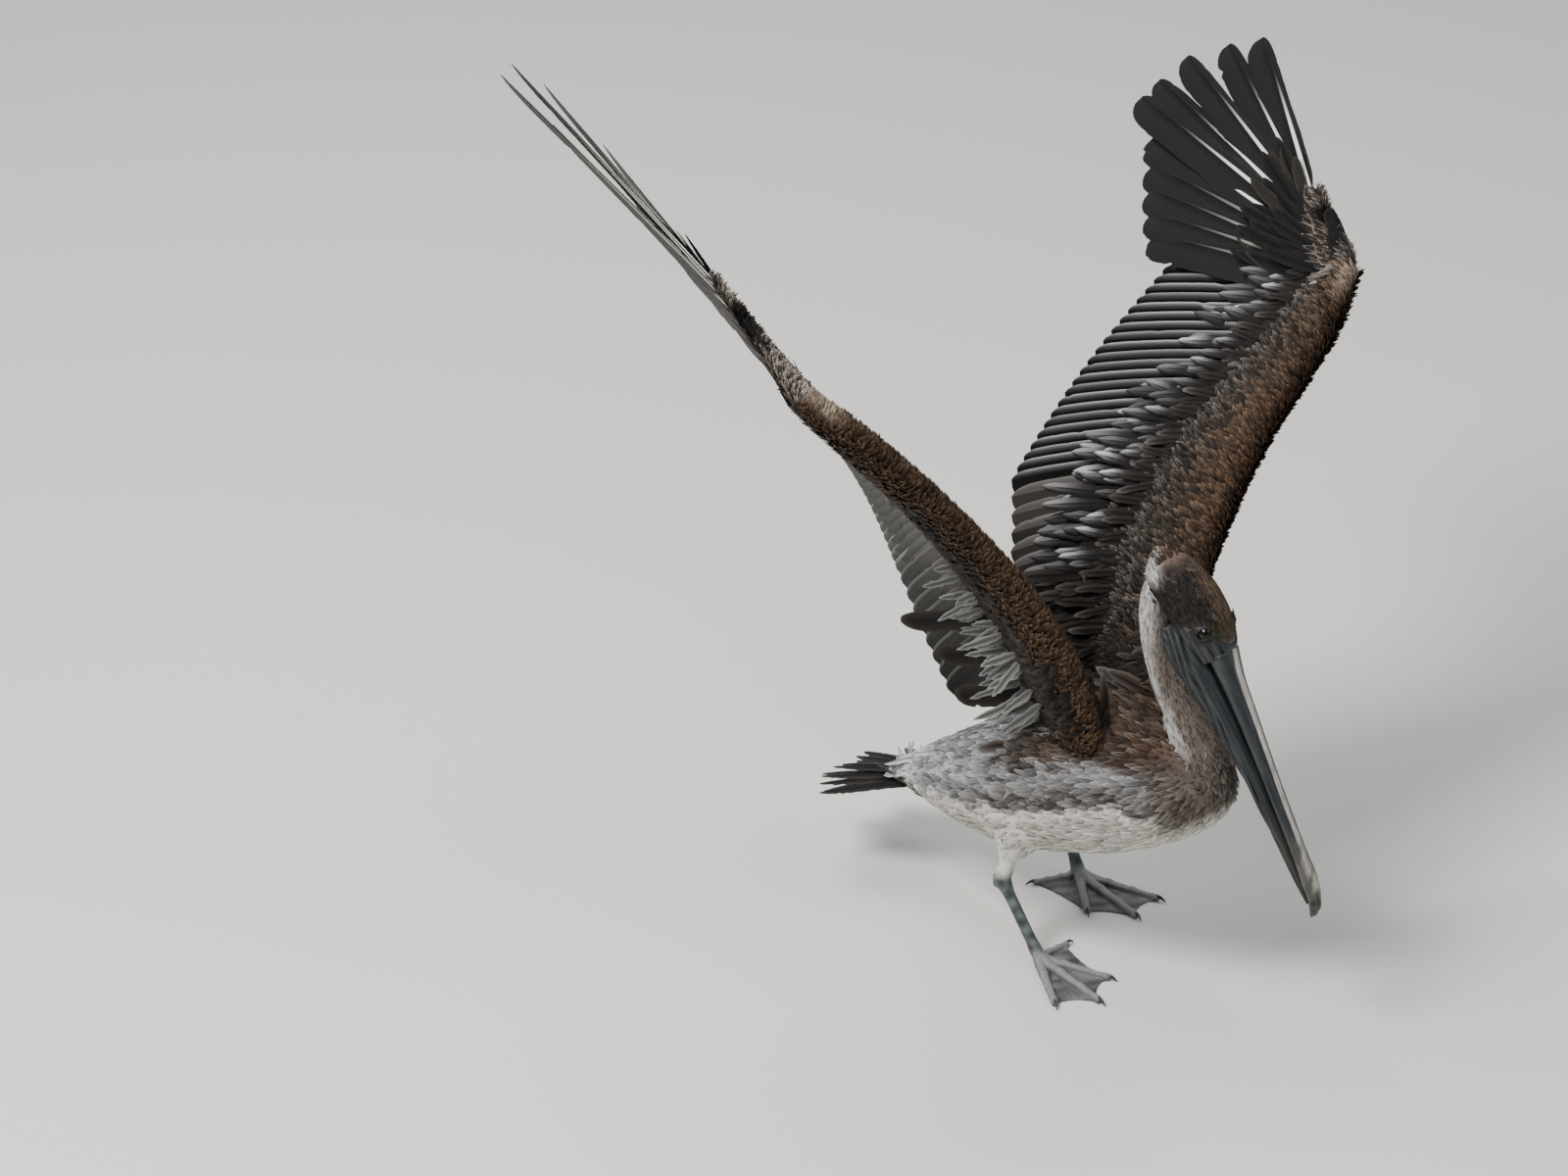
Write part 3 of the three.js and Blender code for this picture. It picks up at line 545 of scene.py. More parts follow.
TRUNK_Y = [-0.196, -0.182, -0.150, -0.105, -0.050, 0.010, 0.070, 0.125, 0.168, 0.200]
TRUNK_MIDDLE = [0.204, 0.202, 0.196, 0.187, 0.171, 0.150, 0.130, 0.116, 0.106, 0.098]
TRUNK_HIGH = [0.014, 0.030, 0.054, 0.076, 0.086, 0.078, 0.065, 0.046, 0.028, 0.016]
NECK_Z = [0.178, 0.188, 0.212, 0.238, 0.262, 0.288, 0.315, 0.342, 0.366, 0.388]
NECK_Y = [-0.140, -0.166, -0.172, -0.161, -0.143, -0.124, -0.111, -0.105, -0.105, -0.112]


def trunk_height(p):
    """Height above the trunk's middle line, from -1 at the belly to 1 on the back."""
    y = p[:, 1]
    return (p[:, 2] - through(TRUNK_Y, TRUNK_MIDDLE, y)) / through(TRUNK_Y, TRUNK_HIGH, y)


def trunk_colour(p):
    """Belly cream, flank band streaked, back grey-brown, rump and tail coverts silvery."""
    y = p[:, 1]
    height = trunk_height(p) + 0.12 * ripple(p, 0.05, 1)
    streak = patches(p * [1, 0.25, 1], 0.012, 2, 0.7)
    ragged = height + 0.10 * (streak - 0.5)
    silver = blend(SILVER, srgb(82, 80, 81), 0.70 * streak)
    band = step(ragged, -0.16, 0.02) * step(height, 0.44, 0.16) * step(y, 0.10, 0.02)
    band = band * (0.62 + 0.38 * step(height, 0.22, 0.0))
    warm = blend(WARM_BROWN, DEEP_BROWN, 0.8 * streak)
    back = blend(blend(MANTLE, MANTLE_DARK, 0.9 * streak), warm, step(y, 0.0, -0.06))
    low_breast = blend(CREAM, FLANK, 0.35 * streak)
    breast = blend(low_breast, blend(NECK_BROWN, MANTLE, streak), step(height, -0.95, -0.40))
    return painted(
        blend(CREAM, blend(CREAM, FLANK, 0.6), 0.4 * streak),
        (silver, step(ragged, -0.16, 0.04)),
        (blend(FLANK, srgb(80, 71, 65), streak), 0.80 * band),
        (back, step(height, 0.26, 0.56) * step(y, 0.05, -0.01)),
        (blend(srgb(226, 228, 230), SILVER, streak), step(y, 0.135, 0.165)),
        (breast, step(y, -0.135, -0.165)))


def neck_colour(p):
    """A pale stripe down the hind neck, grey-brown sides and a darker front low on the neck."""
    z = p[:, 2]
    behind = p[:, 1] - through(NECK_Z, NECK_Y, z) + 0.0025 * ripple(p, 0.010, 6)
    streak = patches(p, 0.009, 3)
    side = blend(NECK_BROWN, MANTLE, 0.6 * streak)
    low = blend(NECK_BROWN, MANTLE_DARK, 0.7 * streak)
    pale = blend(NECK_PALE, NECK_BROWN, 0.35 * streak)
    pale = blend(pale, side, 0.85 * step(z + 0.006 * ripple(p, 0.010, 8), 0.262, 0.212))
    return painted(
        side, (low, step(z, 0.250, 0.215)),
        (pale, step(behind + 0.008 * step(z, 0.30, 0.36), -0.010, 0.010)),
        (trunk_colour(p), step(z + 0.004 * ripple(p, 0.012, 7), 0.222, 0.192)))


def head_colour(p):
    """Mottled dark brown with an olive tinge by the eye and a pinkish-brown nape."""
    f, h, side = head_axes_of(p)
    mottle = patches(p, 0.012, 4, 0.7)
    fine = patches(p, 0.005, 5, 0.7)
    crown = blend(HEAD_BROWN, FRINGE_BROWN, 0.75 * fine)
    dark_side = step(f, -0.004, -0.016) * step(h, 0.014, 0.005) * step(f, -0.062, -0.046)
    return painted(
        blend(HEAD_DARK, HEAD_BROWN, mottle * (0.25 + 0.75 * fine)),
        (srgb(150, 136, 122), 0.6 * step(ripple(p * 1.4, 0.010, 8), 0.55, 1.0)),
        (crown, 0.85 * step(np.abs(side), 0.014, 0.004) * step(h, 0.0, 0.01)),
        (srgb(92, 90, 56), 0.6 * step(np.hypot(f - 0.006, h - 0.011), 0.010, 0.003)),
        (HEAD_DARK, (0.55 + 0.4 * mottle) * dark_side),
        (blend(srgb(128, 102, 88), HEAD_BROWN, 0.5 * fine), step(f, -0.060, -0.072)),
        (blend(NECK_PALE, NECK_BROWN, 0.4 * fine), step(f, -0.046, -0.062) * step(h, -0.012, -0.028)))


# %% [markdown]
# ## Skin of the body
# Under the feathers a bird is one smooth bag of skin. The fleshy solids are joined, given one
# new surface of small squares, smoothed, and moved in by the depth of the coat. A voxel remesh
# is right here, because it closes the thin cuts between the solids without any hand work.

# %% The body as one surface
REGIONS = {"trunk": ["trunk"], "neck": ["neck_lower", "neck_middle", "neck_upper"], "head": ["head"]}
COAT_DEPTH = {"trunk": 0.0065, "neck": 0.0032, "head": 0.006, "thigh": 0.005, "arm": 0.0028, "hand": 0.0028}
for kind, solids in (("thigh", ["thigh_SIDE"]), ("arm", ["wing_SIDE_upper_arm", "wing_SIDE_forearm"]),
                     ("hand", ["wing_SIDE_hand"])):
    for side in WINGS:
        REGIONS[f"{kind}_{side}"] = [solid.replace("SIDE", side) for solid in solids]
SKIN_SQUARE = 0.0042
NEAR = 0.03


def solid_arrays(names):
    """The corners and triangles of some solids, in the bird's frame."""
    meshes = [mesh_arrays(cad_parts[name].data) for name in names]
    return joined([(points - BIRD, [faces]) for points, _, faces in meshes])


def tree_of(points, faces):
    return BVHTree.FromPolygons(points.tolist(), [f for group in faces for f in group.tolist()])


def regions_of(points):
    """The nearest fleshy solid for each point, as a number in the list of regions."""
    distance = np.full((len(REGIONS), len(points)), 9.0)
    for row, solids in enumerate(REGIONS.values()):
        tree = tree_of(*solid_arrays(solids))
        for i, p in enumerate(points):
            found = tree.find_nearest(p, NEAR)
            if found[3] is not None:
                distance[row, i] = found[3]
    return distance.argmin(axis=0)


def in_regions(numbers, *kinds):
    """Where the numbers stand for a region of one of these kinds."""
    return np.isin(numbers, [i for i, name in enumerate(REGIONS) if name.split("_")[0] in kinds])


def temporary(name, points, faces):
    mesh = bpy.data.meshes.new(name)
    mesh.from_pydata(points.tolist(), [], [f for group in faces for f in group.tolist()])
    mesh.update()
    made = bpy.data.objects.new(name, mesh)
    bpy.context.scene.collection.objects.link(made)
    return made


def modified(made, **steps):
    """Puts modifiers on an object, one after another, and keeps the mesh that they give."""
    for kind, settings in steps.items():
        modifier = made.modifiers.new(kind, kind)
        for key, value in settings.items():
            setattr(modifier, key, value)
    mesh = bpy.data.meshes.new_from_object(made.evaluated_get(bpy.context.evaluated_depsgraph_get()))
    made.modifiers.clear()
    old = made.data
    made.data = mesh
    bpy.data.meshes.remove(old)
    return made


flesh = [node for nodes in REGIONS.values() for node in nodes]
body = modified(
    temporary("body_surface", *solid_arrays(flesh)),
    WELD={"merge_threshold": 0.00002}, DISPLACE={"strength": 0.0005, "mid_level": 0.0},
    REMESH={"mode": "VOXEL", "voxel_size": SKIN_SQUARE}, SMOOTH={"factor": 0.5, "iterations": 10})
points, normals, _ = mesh_arrays(body.data)
depth = np.array([COAT_DEPTH[name.split("_")[0]] for name in REGIONS])[regions_of(points)]
fill(body.data.vertices, "co", points - normals * depth[:, None])
body.data.update()
modified(body, SMOOTH={"factor": 0.5, "iterations": 4})
print("body surface", len(points), "corners")

# %% [markdown]
# ## Head skin
# The head is the part that people look at, so its skin is a fine net of its own: rings from the
# back of the head to the base of the bill. The bare face of a pelican is slack slate-grey skin.
# It has long folds that run on into the throat pouch, and a thick lid round each eye.

# %% Shape of the head
# Each row of the sizes has the top, the bottom and the half width, in mm.
HEAD_FORWARD = [-0.080, -0.074, -0.062, -0.042, -0.020, -0.002, 0.012, 0.024]
HEAD_SIZES = np.array([
    [-18, -30, 6], [-6, -40, 15], [5, -46, 21], [14.5, -44, 25],
    [18.5, -40, 26.5], [18, -35, 25.5], [14, -29, 22.5], [8.5, -24, 19]]) / 1000
BARE_UP = [-0.060, -0.045, -0.020, -0.008, 0.0, 0.005, 0.0075, 0.009, 0.012]
BARE_EDGE = [-0.022, -0.019, -0.011, -0.0075, -0.0065, -0.004, 0.003, 0.014, 0.030]
EYE_OFFSET = 0.017
BALL_RADIUS = 0.0083
LID_OPENING = (0.0046, 0.0068)


def past_edge(f, h):
    """How far a point of the head lies ahead of the edge of the plumage."""
    return f - through(BARE_UP, BARE_EDGE, h)


def bare_face(f, h):
    """1 on the bare skin of the face and throat, 0 where feathers grow."""
    return step(past_edge(f, h), -0.0012, 0.0012)


def fold_height(f, h, side):
    """Long slack folds that run ahead along the face and the pouch, in metres."""
    points = np.stack([f.ravel() * 0.35, h.ravel(), side.ravel()], axis=-1)
    drift = 0.0022 * ripple(points, 0.022, 11).reshape(f.shape)
    wave = np.abs(np.sin((h + drift + 0.10 * f) * math.pi / 0.0085))
    small = np.abs(np.sin((h + 1.6 * drift - 0.05 * f) * math.pi / 0.0031))
    return 0.0014 * (wave**0.6 - 0.75) + 0.0006 * (small**0.7 - 0.6)


def eye_axes(side):
    """The middle of an eye, the way it looks out, and the two ways across it."""
    out = unit(0.88 * side * head_left + 0.44 * crownward + 0.10 * ahead)
    along = square_to(ahead, out)
    return in_head(0, 0, side * EYE_OFFSET), out, along, np.cross(out, along)


def shape_lids(points):
    """Raises a thick lid round each eye and opens the skin over the eyeball."""
    for side in (-1, 1):
        middle, out, along, over = eye_axes(side)
        away = points - middle
        height = away @ out
        a = away @ along
        b = away @ over
        ring = np.where(height > 0, np.hypot(a / LID_OPENING[0], b / LID_OPENING[1]), 9)
        ball = np.sqrt(np.maximum(BALL_RADIUS**2 - a**2 - b**2, 0.000030))
        lid = mix(height, np.maximum(ball + 0.0006, height), step(ring, 1.9, 1.15))
        for rise, where, width in ((0.00045, 1.13, 0.09), (-0.00050, 1.55, 0.13),
                                   (0.00030, 1.85, 0.15), (-0.00035, 2.25, 0.13)):
            lid += rise * hump(ring, where, width)
        lid = mix(lid, 0.0040, step(ring, 1.02, 0.94))
        points = points + np.outer(np.where(ring < 3, lid - height, 0), out)
    return points


def graded(low, high, fine_low, fine_high, fine, coarse):
    """Numbers from low to high with small steps in one stretch and large steps elsewhere."""
    before = np.arange(low, fine_low, coarse)
    middle = np.arange(fine_low, fine_high, fine)
    after = np.linspace(fine_high, high, max(2, int((high - fine_high) / coarse) + 1))
    return np.concatenate([before, middle, after])


half_turn = graded(0, math.pi, 0.62, 1.62, 0.020, 0.052)
head_turns = np.concatenate([half_turn, -half_turn[-2:0:-1]])
head_forward = graded(-0.078, 0.0262, -0.0105, 0.0110, 0.00052, 0.0013)
turn, forward, middle, high, wide = head_rings(head_turns, head_forward, HEAD_FORWARD, HEAD_SIZES)
bare = bare_face(forward, middle + np.cos(turn) * high)
sunk_by = mix(0.0020, 0.0003, bare)
closing = np.clip(np.sqrt(np.clip((forward + 0.079) / 0.012, 0, 1)), 0.4, 1)
up = middle + np.cos(turn) * (high - sunk_by)
left = np.sin(turn) * (wide - sunk_by) * closing
fold = fold_height(forward, up, left) * bare * step(np.hypot(forward, up), 0.009, 0.016)
head_points, head_faces = loft(in_head(forward, up + fold * np.cos(turn), left + fold * np.sin(turn)))
head_surface = temporary("head_surface", shape_lids(head_points), head_faces)
print("head skin", len(head_points), "corners, bare", round(float(bare.mean()), 2))

# %% [markdown]
# ## Skin of the legs and feet
# A pelican's four toes are all joined by webs. Bars for the toes, a bent shank and thin sheets
# are laid together and given one new surface, as real web skin runs into the toes without a
# seam. The soles stay flat on the ground.

# %% Shape of the legs and feet
# Each toe has its angle from the foot's heading, in degrees, its length and its radius.
TOES = {
    "outer": (25, 0.095, 0.0042), "middle": (0, 0.105, 0.0044),
    "inner": (-27, 0.082, 0.0042), "hind": (-104, 0.052, 0.0036),
}
LEGS = {
    "right": Record(side=-1, hip=np.array([-0.046, 0.014, 0.120]), ankle=np.array([-0.067, 0.016, 0.070]),
                    foot=np.array([-0.066, -0.027, 0.0]), heading=12),
    "left": Record(side=1, hip=np.array([0.048, 0.028, 0.116]), ankle=np.array([0.076, 0.074, 0.072]),
                   foot=np.array([0.084, 0.058, 0.0]), heading=-14),
}
CLAW_LENGTH = 0.009
LEG_SQUARE = 0.00105


def toe_way(leg, toe):
    return direction(leg.side * (leg.heading + TOES[toe][0]))


def tube(path, radii, sides=20, flat=-1.0, squash=1.0):
    """A closed tube along a path of points, none of it lower than flat."""
    tangent = unit(np.gradient(path, axis=0))
    side_way = unit(np.cross(tangent, UP + np.array([0.013, 0.021, 0])))
    up_way = np.cross(side_way, tangent)
    angle = even_turns(sides)[None, :, None]
    ring = path[:, None] + np.asarray(radii)[:, None, None] * (
        np.cos(angle) * side_way[:, None] * squash + np.sin(angle) * up_way[:, None])
    ring[..., 2] = np.maximum(ring[..., 2], flat)
    return loft(ring)


def toe_bar(leg, toe):
    length, radius = TOES[toe][1:]
    s = np.linspace(0, 1, 40)
    joints = 1 + 0.16 * hump(s[:, None], np.array([0.38, 0.68, 0.93]), 0.035).sum(axis=1)
    size = radius * mix(1.22, 0.74, s**0.8) * joints
    path = leg.foot + np.outer(s * (length - CLAW_LENGTH + 0.001), toe_way(leg, toe))
    path[:, 2] = mix(np.maximum(size, 0.009 - 0.020 * s), size, step(s, 0.0, 0.35)) * 0.92
    return tube(path, size, flat=0.0)


def web_between(leg, first, second):
    """A thin sheet between two toes, with a front edge that curves in."""
    ends = [leg.foot + toe_way(leg, toe) * (TOES[toe][1] - 0.011) for toe in (first, second)]
    control = leg.foot + ((ends[0] - leg.foot) + (ends[1] - leg.foot)) * 0.42
    t = np.linspace(0, 1, 48)[:, None]
    edge = (1 - t) ** 2 * ends[0] + 2 * t * (1 - t) * control + t**2 * ends[1]
    r = np.linspace(0.02, 1, 60)[:, None, None]
    above = leg.foot + (edge - leg.foot)[None] * r
    rows, columns = above.shape[:2]
    below = above.copy()
    below[..., 2] = 0.0
    t = t[None, :, 0]
    above[..., 2] = 0.0017 + 0.0016 * np.abs(2 * t - 1) ** 6 + 0.0004 * np.sin(t * 40 + r[..., 0] * 9)
    cell = grid_faces(rows, columns).reshape(rows - 1, columns, 4)[:, :-1].reshape(-1, 4)
    count = rows * columns
    number = np.arange(count).reshape(rows, columns)
    faces = [cell, cell[:, ::-1] + count]
    for line, order in ((number[0], 1), (number[-1], -1), (number[:, 0], -1), (number[:, -1], 1)):
        wall = np.stack([line[:-1], line[1:], line[1:] + count, line[:-1] + count], axis=-1)
        faces.append(wall[:, ::order])
    return np.concatenate([above.reshape(-1, 3), below.reshape(-1, 3)]), faces


def leg_surface(leg):
    """A leg's skin from above the ankle down to the toes and webs."""
    foot = leg.foot + [0, 0, 0.010]
    knee = leg.ankle + unit(leg.hip - leg.ankle) * 0.020
    s = np.linspace(0, 1, 46)
    shank = 0.0056 + 0.0030 * hump(s, 0, 0.13) + 0.0012 * step(s, 0.8, 1.0)
    shapes = [
        tube(mix(leg.ankle, foot, s[:, None]), shank, squash=0.88),
        tube(mix(knee, leg.ankle, s[::3, None]), np.full(len(s[::3]), 0.0078)),
        tube(np.array([leg.ankle + [0, 0, 0.004], leg.ankle - [0, 0, 0.006]]), [0.0086, 0.0082]),
    ]
    shapes += [toe_bar(leg, toe) for toe in TOES]
    shapes += [web_between(leg, *pair) for pair in zip(TOES, list(TOES)[1:])]
    return modified(
        temporary("leg_surface", *joined(shapes)),
        REMESH={"mode": "VOXEL", "voxel_size": LEG_SQUARE}, SMOOTH={"factor": 0.5, "iterations": 3})


for other in (head_surface, *map(leg_surface, LEGS.values())):
    modified(body, BOOLEAN={"operation": "UNION", "solver": "MANIFOLD", "object": other})
    bpy.data.objects.remove(other)
skin_points, _, skin_faces = mesh_arrays(body.data)
bpy.data.objects.remove(body)
print("skin", len(skin_points), "corners", len(skin_faces), "triangles")

# %% [markdown]
# ## Skin colours and the finished skin
# The skin is one piece. Below the coat it carries the same markings as the feathers. The face
# is slate grey, with painted shade that makes its creases dark and painted highlights on the
# ridges of its folds, and the legs are blue-grey with paler toes. Each part has a material of
# its own, because scaly legs, slack face skin and feathered skin shine differently.

# %% Materials of the skin
def skin_material(name, roughness, shine, grain, depth, blotch):
    """Markings broken up by blotches, and a fine grain in the relief."""
    look = Look(name, roughness, shine)
    place = look.place()
    tone = look.spread(look.noise(place, blotch), 0.72, 1.22)
    return look.marked(tone, look.noise(place, grain, 4.0), 0.6, depth)


def leg_material():
    """Blotches too, with rings of scutes on the toes and shanks and a net of scales between."""
    look = Look("leg_skin", 0.52)
    place = look.place()
    vane = look.vane()
    wobble = look.spread(look.noise(place, 260), -0.25, 0.25)
    band = look.math("FRACT", look.math("ADD", look.math("MULTIPLY", vane["X"], 330), wobble))
    band = look.math("POWER", look.math("PINGPONG", band, 0.5), 0.45)
    scale_net = {"Vector": place, "Scale": 420}
    net = look.node("ShaderNodeTexVoronoi", scale_net, "Distance", feature="DISTANCE_TO_EDGE")
    net = look.math("MINIMUM", look.math("MULTIPLY", net, 5), 0.7)
    relief = look.math("ADD", look.math("MULTIPLY", band, vane["Z"]), net)
    return look.marked(look.spread(look.noise(place, 210), 0.72, 1.22), relief, 0.8, 0.00045)


plumage_skin = skin_material("plumage_skin", 0.9, 0.5, 900, 0.0006, 160)
face_skin = skin_material("face_skin", 0.46, 0.42, 1500, 0.00030, 130)
leg_skin = leg_material()


# %% Colours of the skin
def leg_colour(p):
    """Blue-grey, with pale ridges along the toes, darker webs and a stained look near the ground.
    The second value marks where scales lie: along the limb, across it, and how clearly."""
    x, y, z = p.T
    colour = blend(WEB_GREY, srgb(64, 66, 68), 0.8 * patches(p, 0.02, 21, 0.7))
    scale = np.zeros((len(p), 3))
    pale = blend(LEG_GREY, srgb(168, 170, 166), 0.6 * step(z, 0.002, 0.007))
    for leg in LEGS.values():
        for toe, (_, length, radius) in TOES.items():
            way = toe_way(leg, toe)
            along = (p - leg.foot) @ way
            across = (p - leg.foot) @ np.cross(UP, way)
            on_toe = step(np.abs(across), radius * 1.25, radius * 0.7) * step(along, -0.004, 0.004)
            on_toe = on_toe * (along < length) * (z < 0.03) * (leg.side * (x - 0.008) > 0)
            colour = blend(colour, pale, on_toe)
            better = on_toe > scale[:, 2]
            scale[better] = np.stack([along, across / radius, on_toe], axis=-1)[better]
    shank = step(z, 0.010, 0.020)
    tone = blend(LEG_GREY, srgb(62, 74, 78), patches(p, 0.012, 22, 0.6))
    higher = shank > 0.5
    scale[higher] = np.stack([z, x, 0.7 * shank], axis=-1)[higher]
    return blend(colour, tone, shank), scale


def face_colour(f, h, side):
    """Slate skin, with painted highlights on the ridges of the folds, painted shade that makes the creases
    almost black, and almost black round the eye.
    """
    points = np.stack([f, h, side], axis=-1)
    fold = fold_height(f, h, side)
    return painted(
        blend(srgb(50, 57, 62), srgb(66, 73, 77), patches(points, 0.014, 12, 0.6, 0.3)),
        (srgb(40, 45, 50), 0.7 * patches(points, 0.024, 13, 0.8, 0.4)),
        # Painted highlight on the ridges of the folds.
        (srgb(94, 100, 103), 0.45 * step(fold, 0.0001, 0.0005)),
        # Painted shade in the creases.
        (srgb(12, 13, 15), 0.92 * step(fold, 0.0001, -0.0007)),
        (srgb(10, 10, 11), 0.95 * step(np.hypot(f, h / 1.2), 0.0130, 0.0080)))


skin_region = regions_of(skin_points)
f, h, side = head_axes_of(skin_points)
foot_share = step(skin_points[:, 2], 0.082, 0.070)
colours = trunk_colour(skin_points)
on_neck = in_regions(skin_region, "neck")
colours[on_neck] = neck_colour(skin_points[on_neck])
on_head = in_regions(skin_region, "head") & (f > -0.085)
colours[on_head] = head_colour(skin_points[on_head])
face_share = bare_face(f, h) * on_head
colours = blend(colours, face_colour(f, h, side), face_share)
on_arm = in_regions(skin_region, "arm", "hand")
colours[on_arm] = blend(MANTLE_DARK, DEEP_BROWN, patches(skin_points, 0.02, 31))[on_arm]
leg_tint, leg_scale = leg_colour(skin_points)
colours = blend(colours, leg_tint, foot_share)
skin_points[:, 2] = np.maximum(skin_points[:, 2], 0.0)
skin_slots = np.where(face_share > 0.5, 1, 0)
skin_slots = np.where(foot_share > 0.5, 2, skin_slots)[skin_faces[:, 0]]
skin = make_piece("skin", skin_points, [skin_faces], [plumage_skin, face_skin, leg_skin], colours,
                  skin_slots, leg_scale)
hand_over(skin, "leg_skin", *flesh, "tarsus_left", "tarsus_right", "foot_left", "foot_right")

# %% [markdown]
# ## Bill
# The upper bill is a long plate of horn with a ridge along the top, a groove on each side of it
# and a hooked nail at the end. Horn grows forward, so its streaks and scratches run lengthwise.

# %% Horn material
STREAK_STRETCH = (14, 520, 3)


def horn_material(name, roughness):
    """Markings with fine streaks along the horn and soft blotches."""
    look = Look(name, roughness)
    lie = {0: look.attribute("vane", "Vector"), 1: STREAK_STRETCH}
    streak = look.noise(look.node("ShaderNodeVectorMath", lie, operation="MULTIPLY"), 1.0, 5.0, 0.7)
    blotch = look.noise(look.place(), 95, 4.0, 0.65)
    tone = look.math("MULTIPLY", look.spread(streak, 0.50, 1.45), look.spread(blotch, 0.70, 1.30))
    return look.marked(tone, streak, 0.5, 0.0004)


def horn_streaks(f, h, side, seed):
    return patches(np.stack([f * 0.06, h, side], axis=-1), 0.0045, seed, 0.8)


def horn_vane(f, h, side, axis_depth):
    """Length along the bill and the way round it, which the streaks follow."""
    return np.stack([f, np.arctan2(side, h + axis_depth) * 0.02, h], axis=-1)


bill_horn = horn_material("bill_horn", 0.40)
claw_horn = horn_material("claw_horn", 0.38)

# %% Shape of the upper bill
UPPER_FORWARD = np.array([24.35, 46, 90, 150, 205, 240, 257, 267, 271.5]) / 1000
UPPER_SIZES = np.array([
    [8, -14.5, 17], [3.5, -13.8, 14], [-0.5, -13.5, 11.5], [-6, -14.8, 10.2], [-9.5, -16.8, 10],
    [-11.5, -18.8, 10], [-13.5, -22.5, 8], [-17.5, -28, 5], [-24, -30, 2]]) / 1000


def ridge_half(f):
    """Half the width of the ridge along the top."""
    return mix(0.0034, 0.0030, step(f, 0.03, 0.16))


bill_forward = np.concatenate([np.linspace(0.0235, 0.236, 180), np.linspace(0.2372, 0.2715, 44)])
turn, f, middle, high, wide = head_rings(even_turns(96), bill_forward, UPPER_FORWARD, UPPER_SIZES)
wide = wide + 0.0016 * hump(f, 0.243, 0.016)
power = mix(0.8, 1.0, step(f, 0.236, 0.26))
side = np.sign(np.sin(turn)) * np.abs(np.sin(turn)) ** power * wide
up_share = np.sign(np.cos(turn)) * np.abs(np.cos(turn)) ** power
from_ridge = np.abs(side) / ridge_half(f)
upper_face = step(up_share, 0.0, 0.3)
along_bill = step(f, 0.026, 0.036) * step(f, 0.262, 0.245)
groove = hump(from_ridge, 1.18, 0.17) * upper_face * along_bill
up = middle + up_share * high - 0.0011 * groove + 0.0004 * np.exp(-((from_ridge / 0.8) ** 4)) * upper_face
side = side + 0.0004 * hump(up_share, -0.78, 0.10) * along_bill * np.sign(side)
up = up - 0.0005 * hump(f - 0.241 - 0.35 * np.abs(side), 0, 0.0012) * upper_face
rough = ripple(np.stack([f * 0.4, up, side], axis=-1).reshape(-1, 3), 0.006, 41)
up = up + 0.00012 * rough.reshape(up.shape)
upper_points, upper_faces = loft(in_head(f, up, side))

# %% Colours of the upper bill
f, h, side = head_axes_of(upper_points)
streaks = horn_streaks(f, h, side, 42)
blots = patches(upper_points, 0.016, 43, 0.8)
above_edge = h - through(UPPER_FORWARD, UPPER_SIZES, f)[:, 1]
# The pale stripe along the top, a little to the bird's left of the ridge, is partly the culmen's own pale horn
# and partly a painted highlight where light falls on the top.
pale = step(np.abs(side - 0.0012), ridge_half(f) * 1.35, ridge_half(f) * 1.05)
pale = pale * step(above_edge, 0.002, 0.004)
culmen_and_highlight = blend(srgb(222, 216, 206), srgb(176, 168, 158), 0.7 * streaks)
# Painted shade along the lower edges, in the gap between the upper and lower bill.
edge = step(np.abs(side), 0.0, 0.004) * step(above_edge, 0.0034, 0.0014)
mottled = step(f, 0.190, 0.225) * step(edge, 0.9, 0.3) * mix(0.25, 0.95, step(np.abs(side), 0.009, 0.004))
colours = painted(
    blend(srgb(70, 75, 75), srgb(42, 50, 58), streaks),
    (srgb(122, 114, 96), 0.25 * blots * step(f, 0.12, 0.22)),
    # Pale stripe: partly pale horn, partly painted highlight.
    (blend(culmen_and_highlight, srgb(120, 108, 100), 0.35 * blots), pale),
    # Painted shade along the lower edges.
    (srgb(44, 46, 46), 0.85 * edge),
    (blend(srgb(190, 184, 170), srgb(120, 115, 102), blots), mottled),
    (blend(srgb(54, 50, 46), srgb(96, 88, 78), streaks), step(f - 0.35 * np.abs(side), 0.247, 0.258)))
vane = horn_vane(f, h, side, 0.012)
upper_bill = make_piece("upper_bill", upper_points, upper_faces, [bill_horn], colours, vane=vane)
hand_over(upper_bill, "bill_horn", "bill_upper")

# %% [markdown]
# ## Lower bill and throat pouch
# Two thin springy bars of horn carry the edge of the pouch, and the pouch is loose elastic skin
# between them. When it is empty it hangs in long folds below the bars.

# %% Lower bill and pouch
LOWER_FORWARD = np.array([-16, 0, 24, 50, 90, 130, 170, 210, 245, 259]) / 1000
LOWER_SIZES = np.array([
    [-26, -50, 17], [-18, -56, 19.5], [-15.2, -54, 19], [-14.4, -46, 17], [-14, -39, 14.5],
    [-14.8, -34.5, 12.5], [-16, -31.5, 11], [-17.6, -29.5, 9.5], [-19.9, -27.5, 7.5], [-23.6, -27, 4]]) / 1000
lower_forward = np.concatenate([np.linspace(-0.0155, 0.110, 150), np.linspace(0.1115, 0.2588, 120)])
turn, f, middle, high, wide = head_rings(even_turns(160), lower_forward, LOWER_FORWARD, LOWER_SIZES)
side = np.sin(turn) * wide
up = middle + np.cos(turn) * high
bar = step(np.cos(turn), 0.10, 0.26) * step(f, 0.010, 0.035)
slack = step(f, 0.25, 0.14) * (1 - bar)
puff = 1.6 * fold_height(f, up, side) * slack + 0.0009 * bar - 0.0008 * hump(np.cos(turn), 0.06, 0.06)
side = side + puff * np.sin(turn)
up = up + puff * np.minimum(np.cos(turn), 0.3)
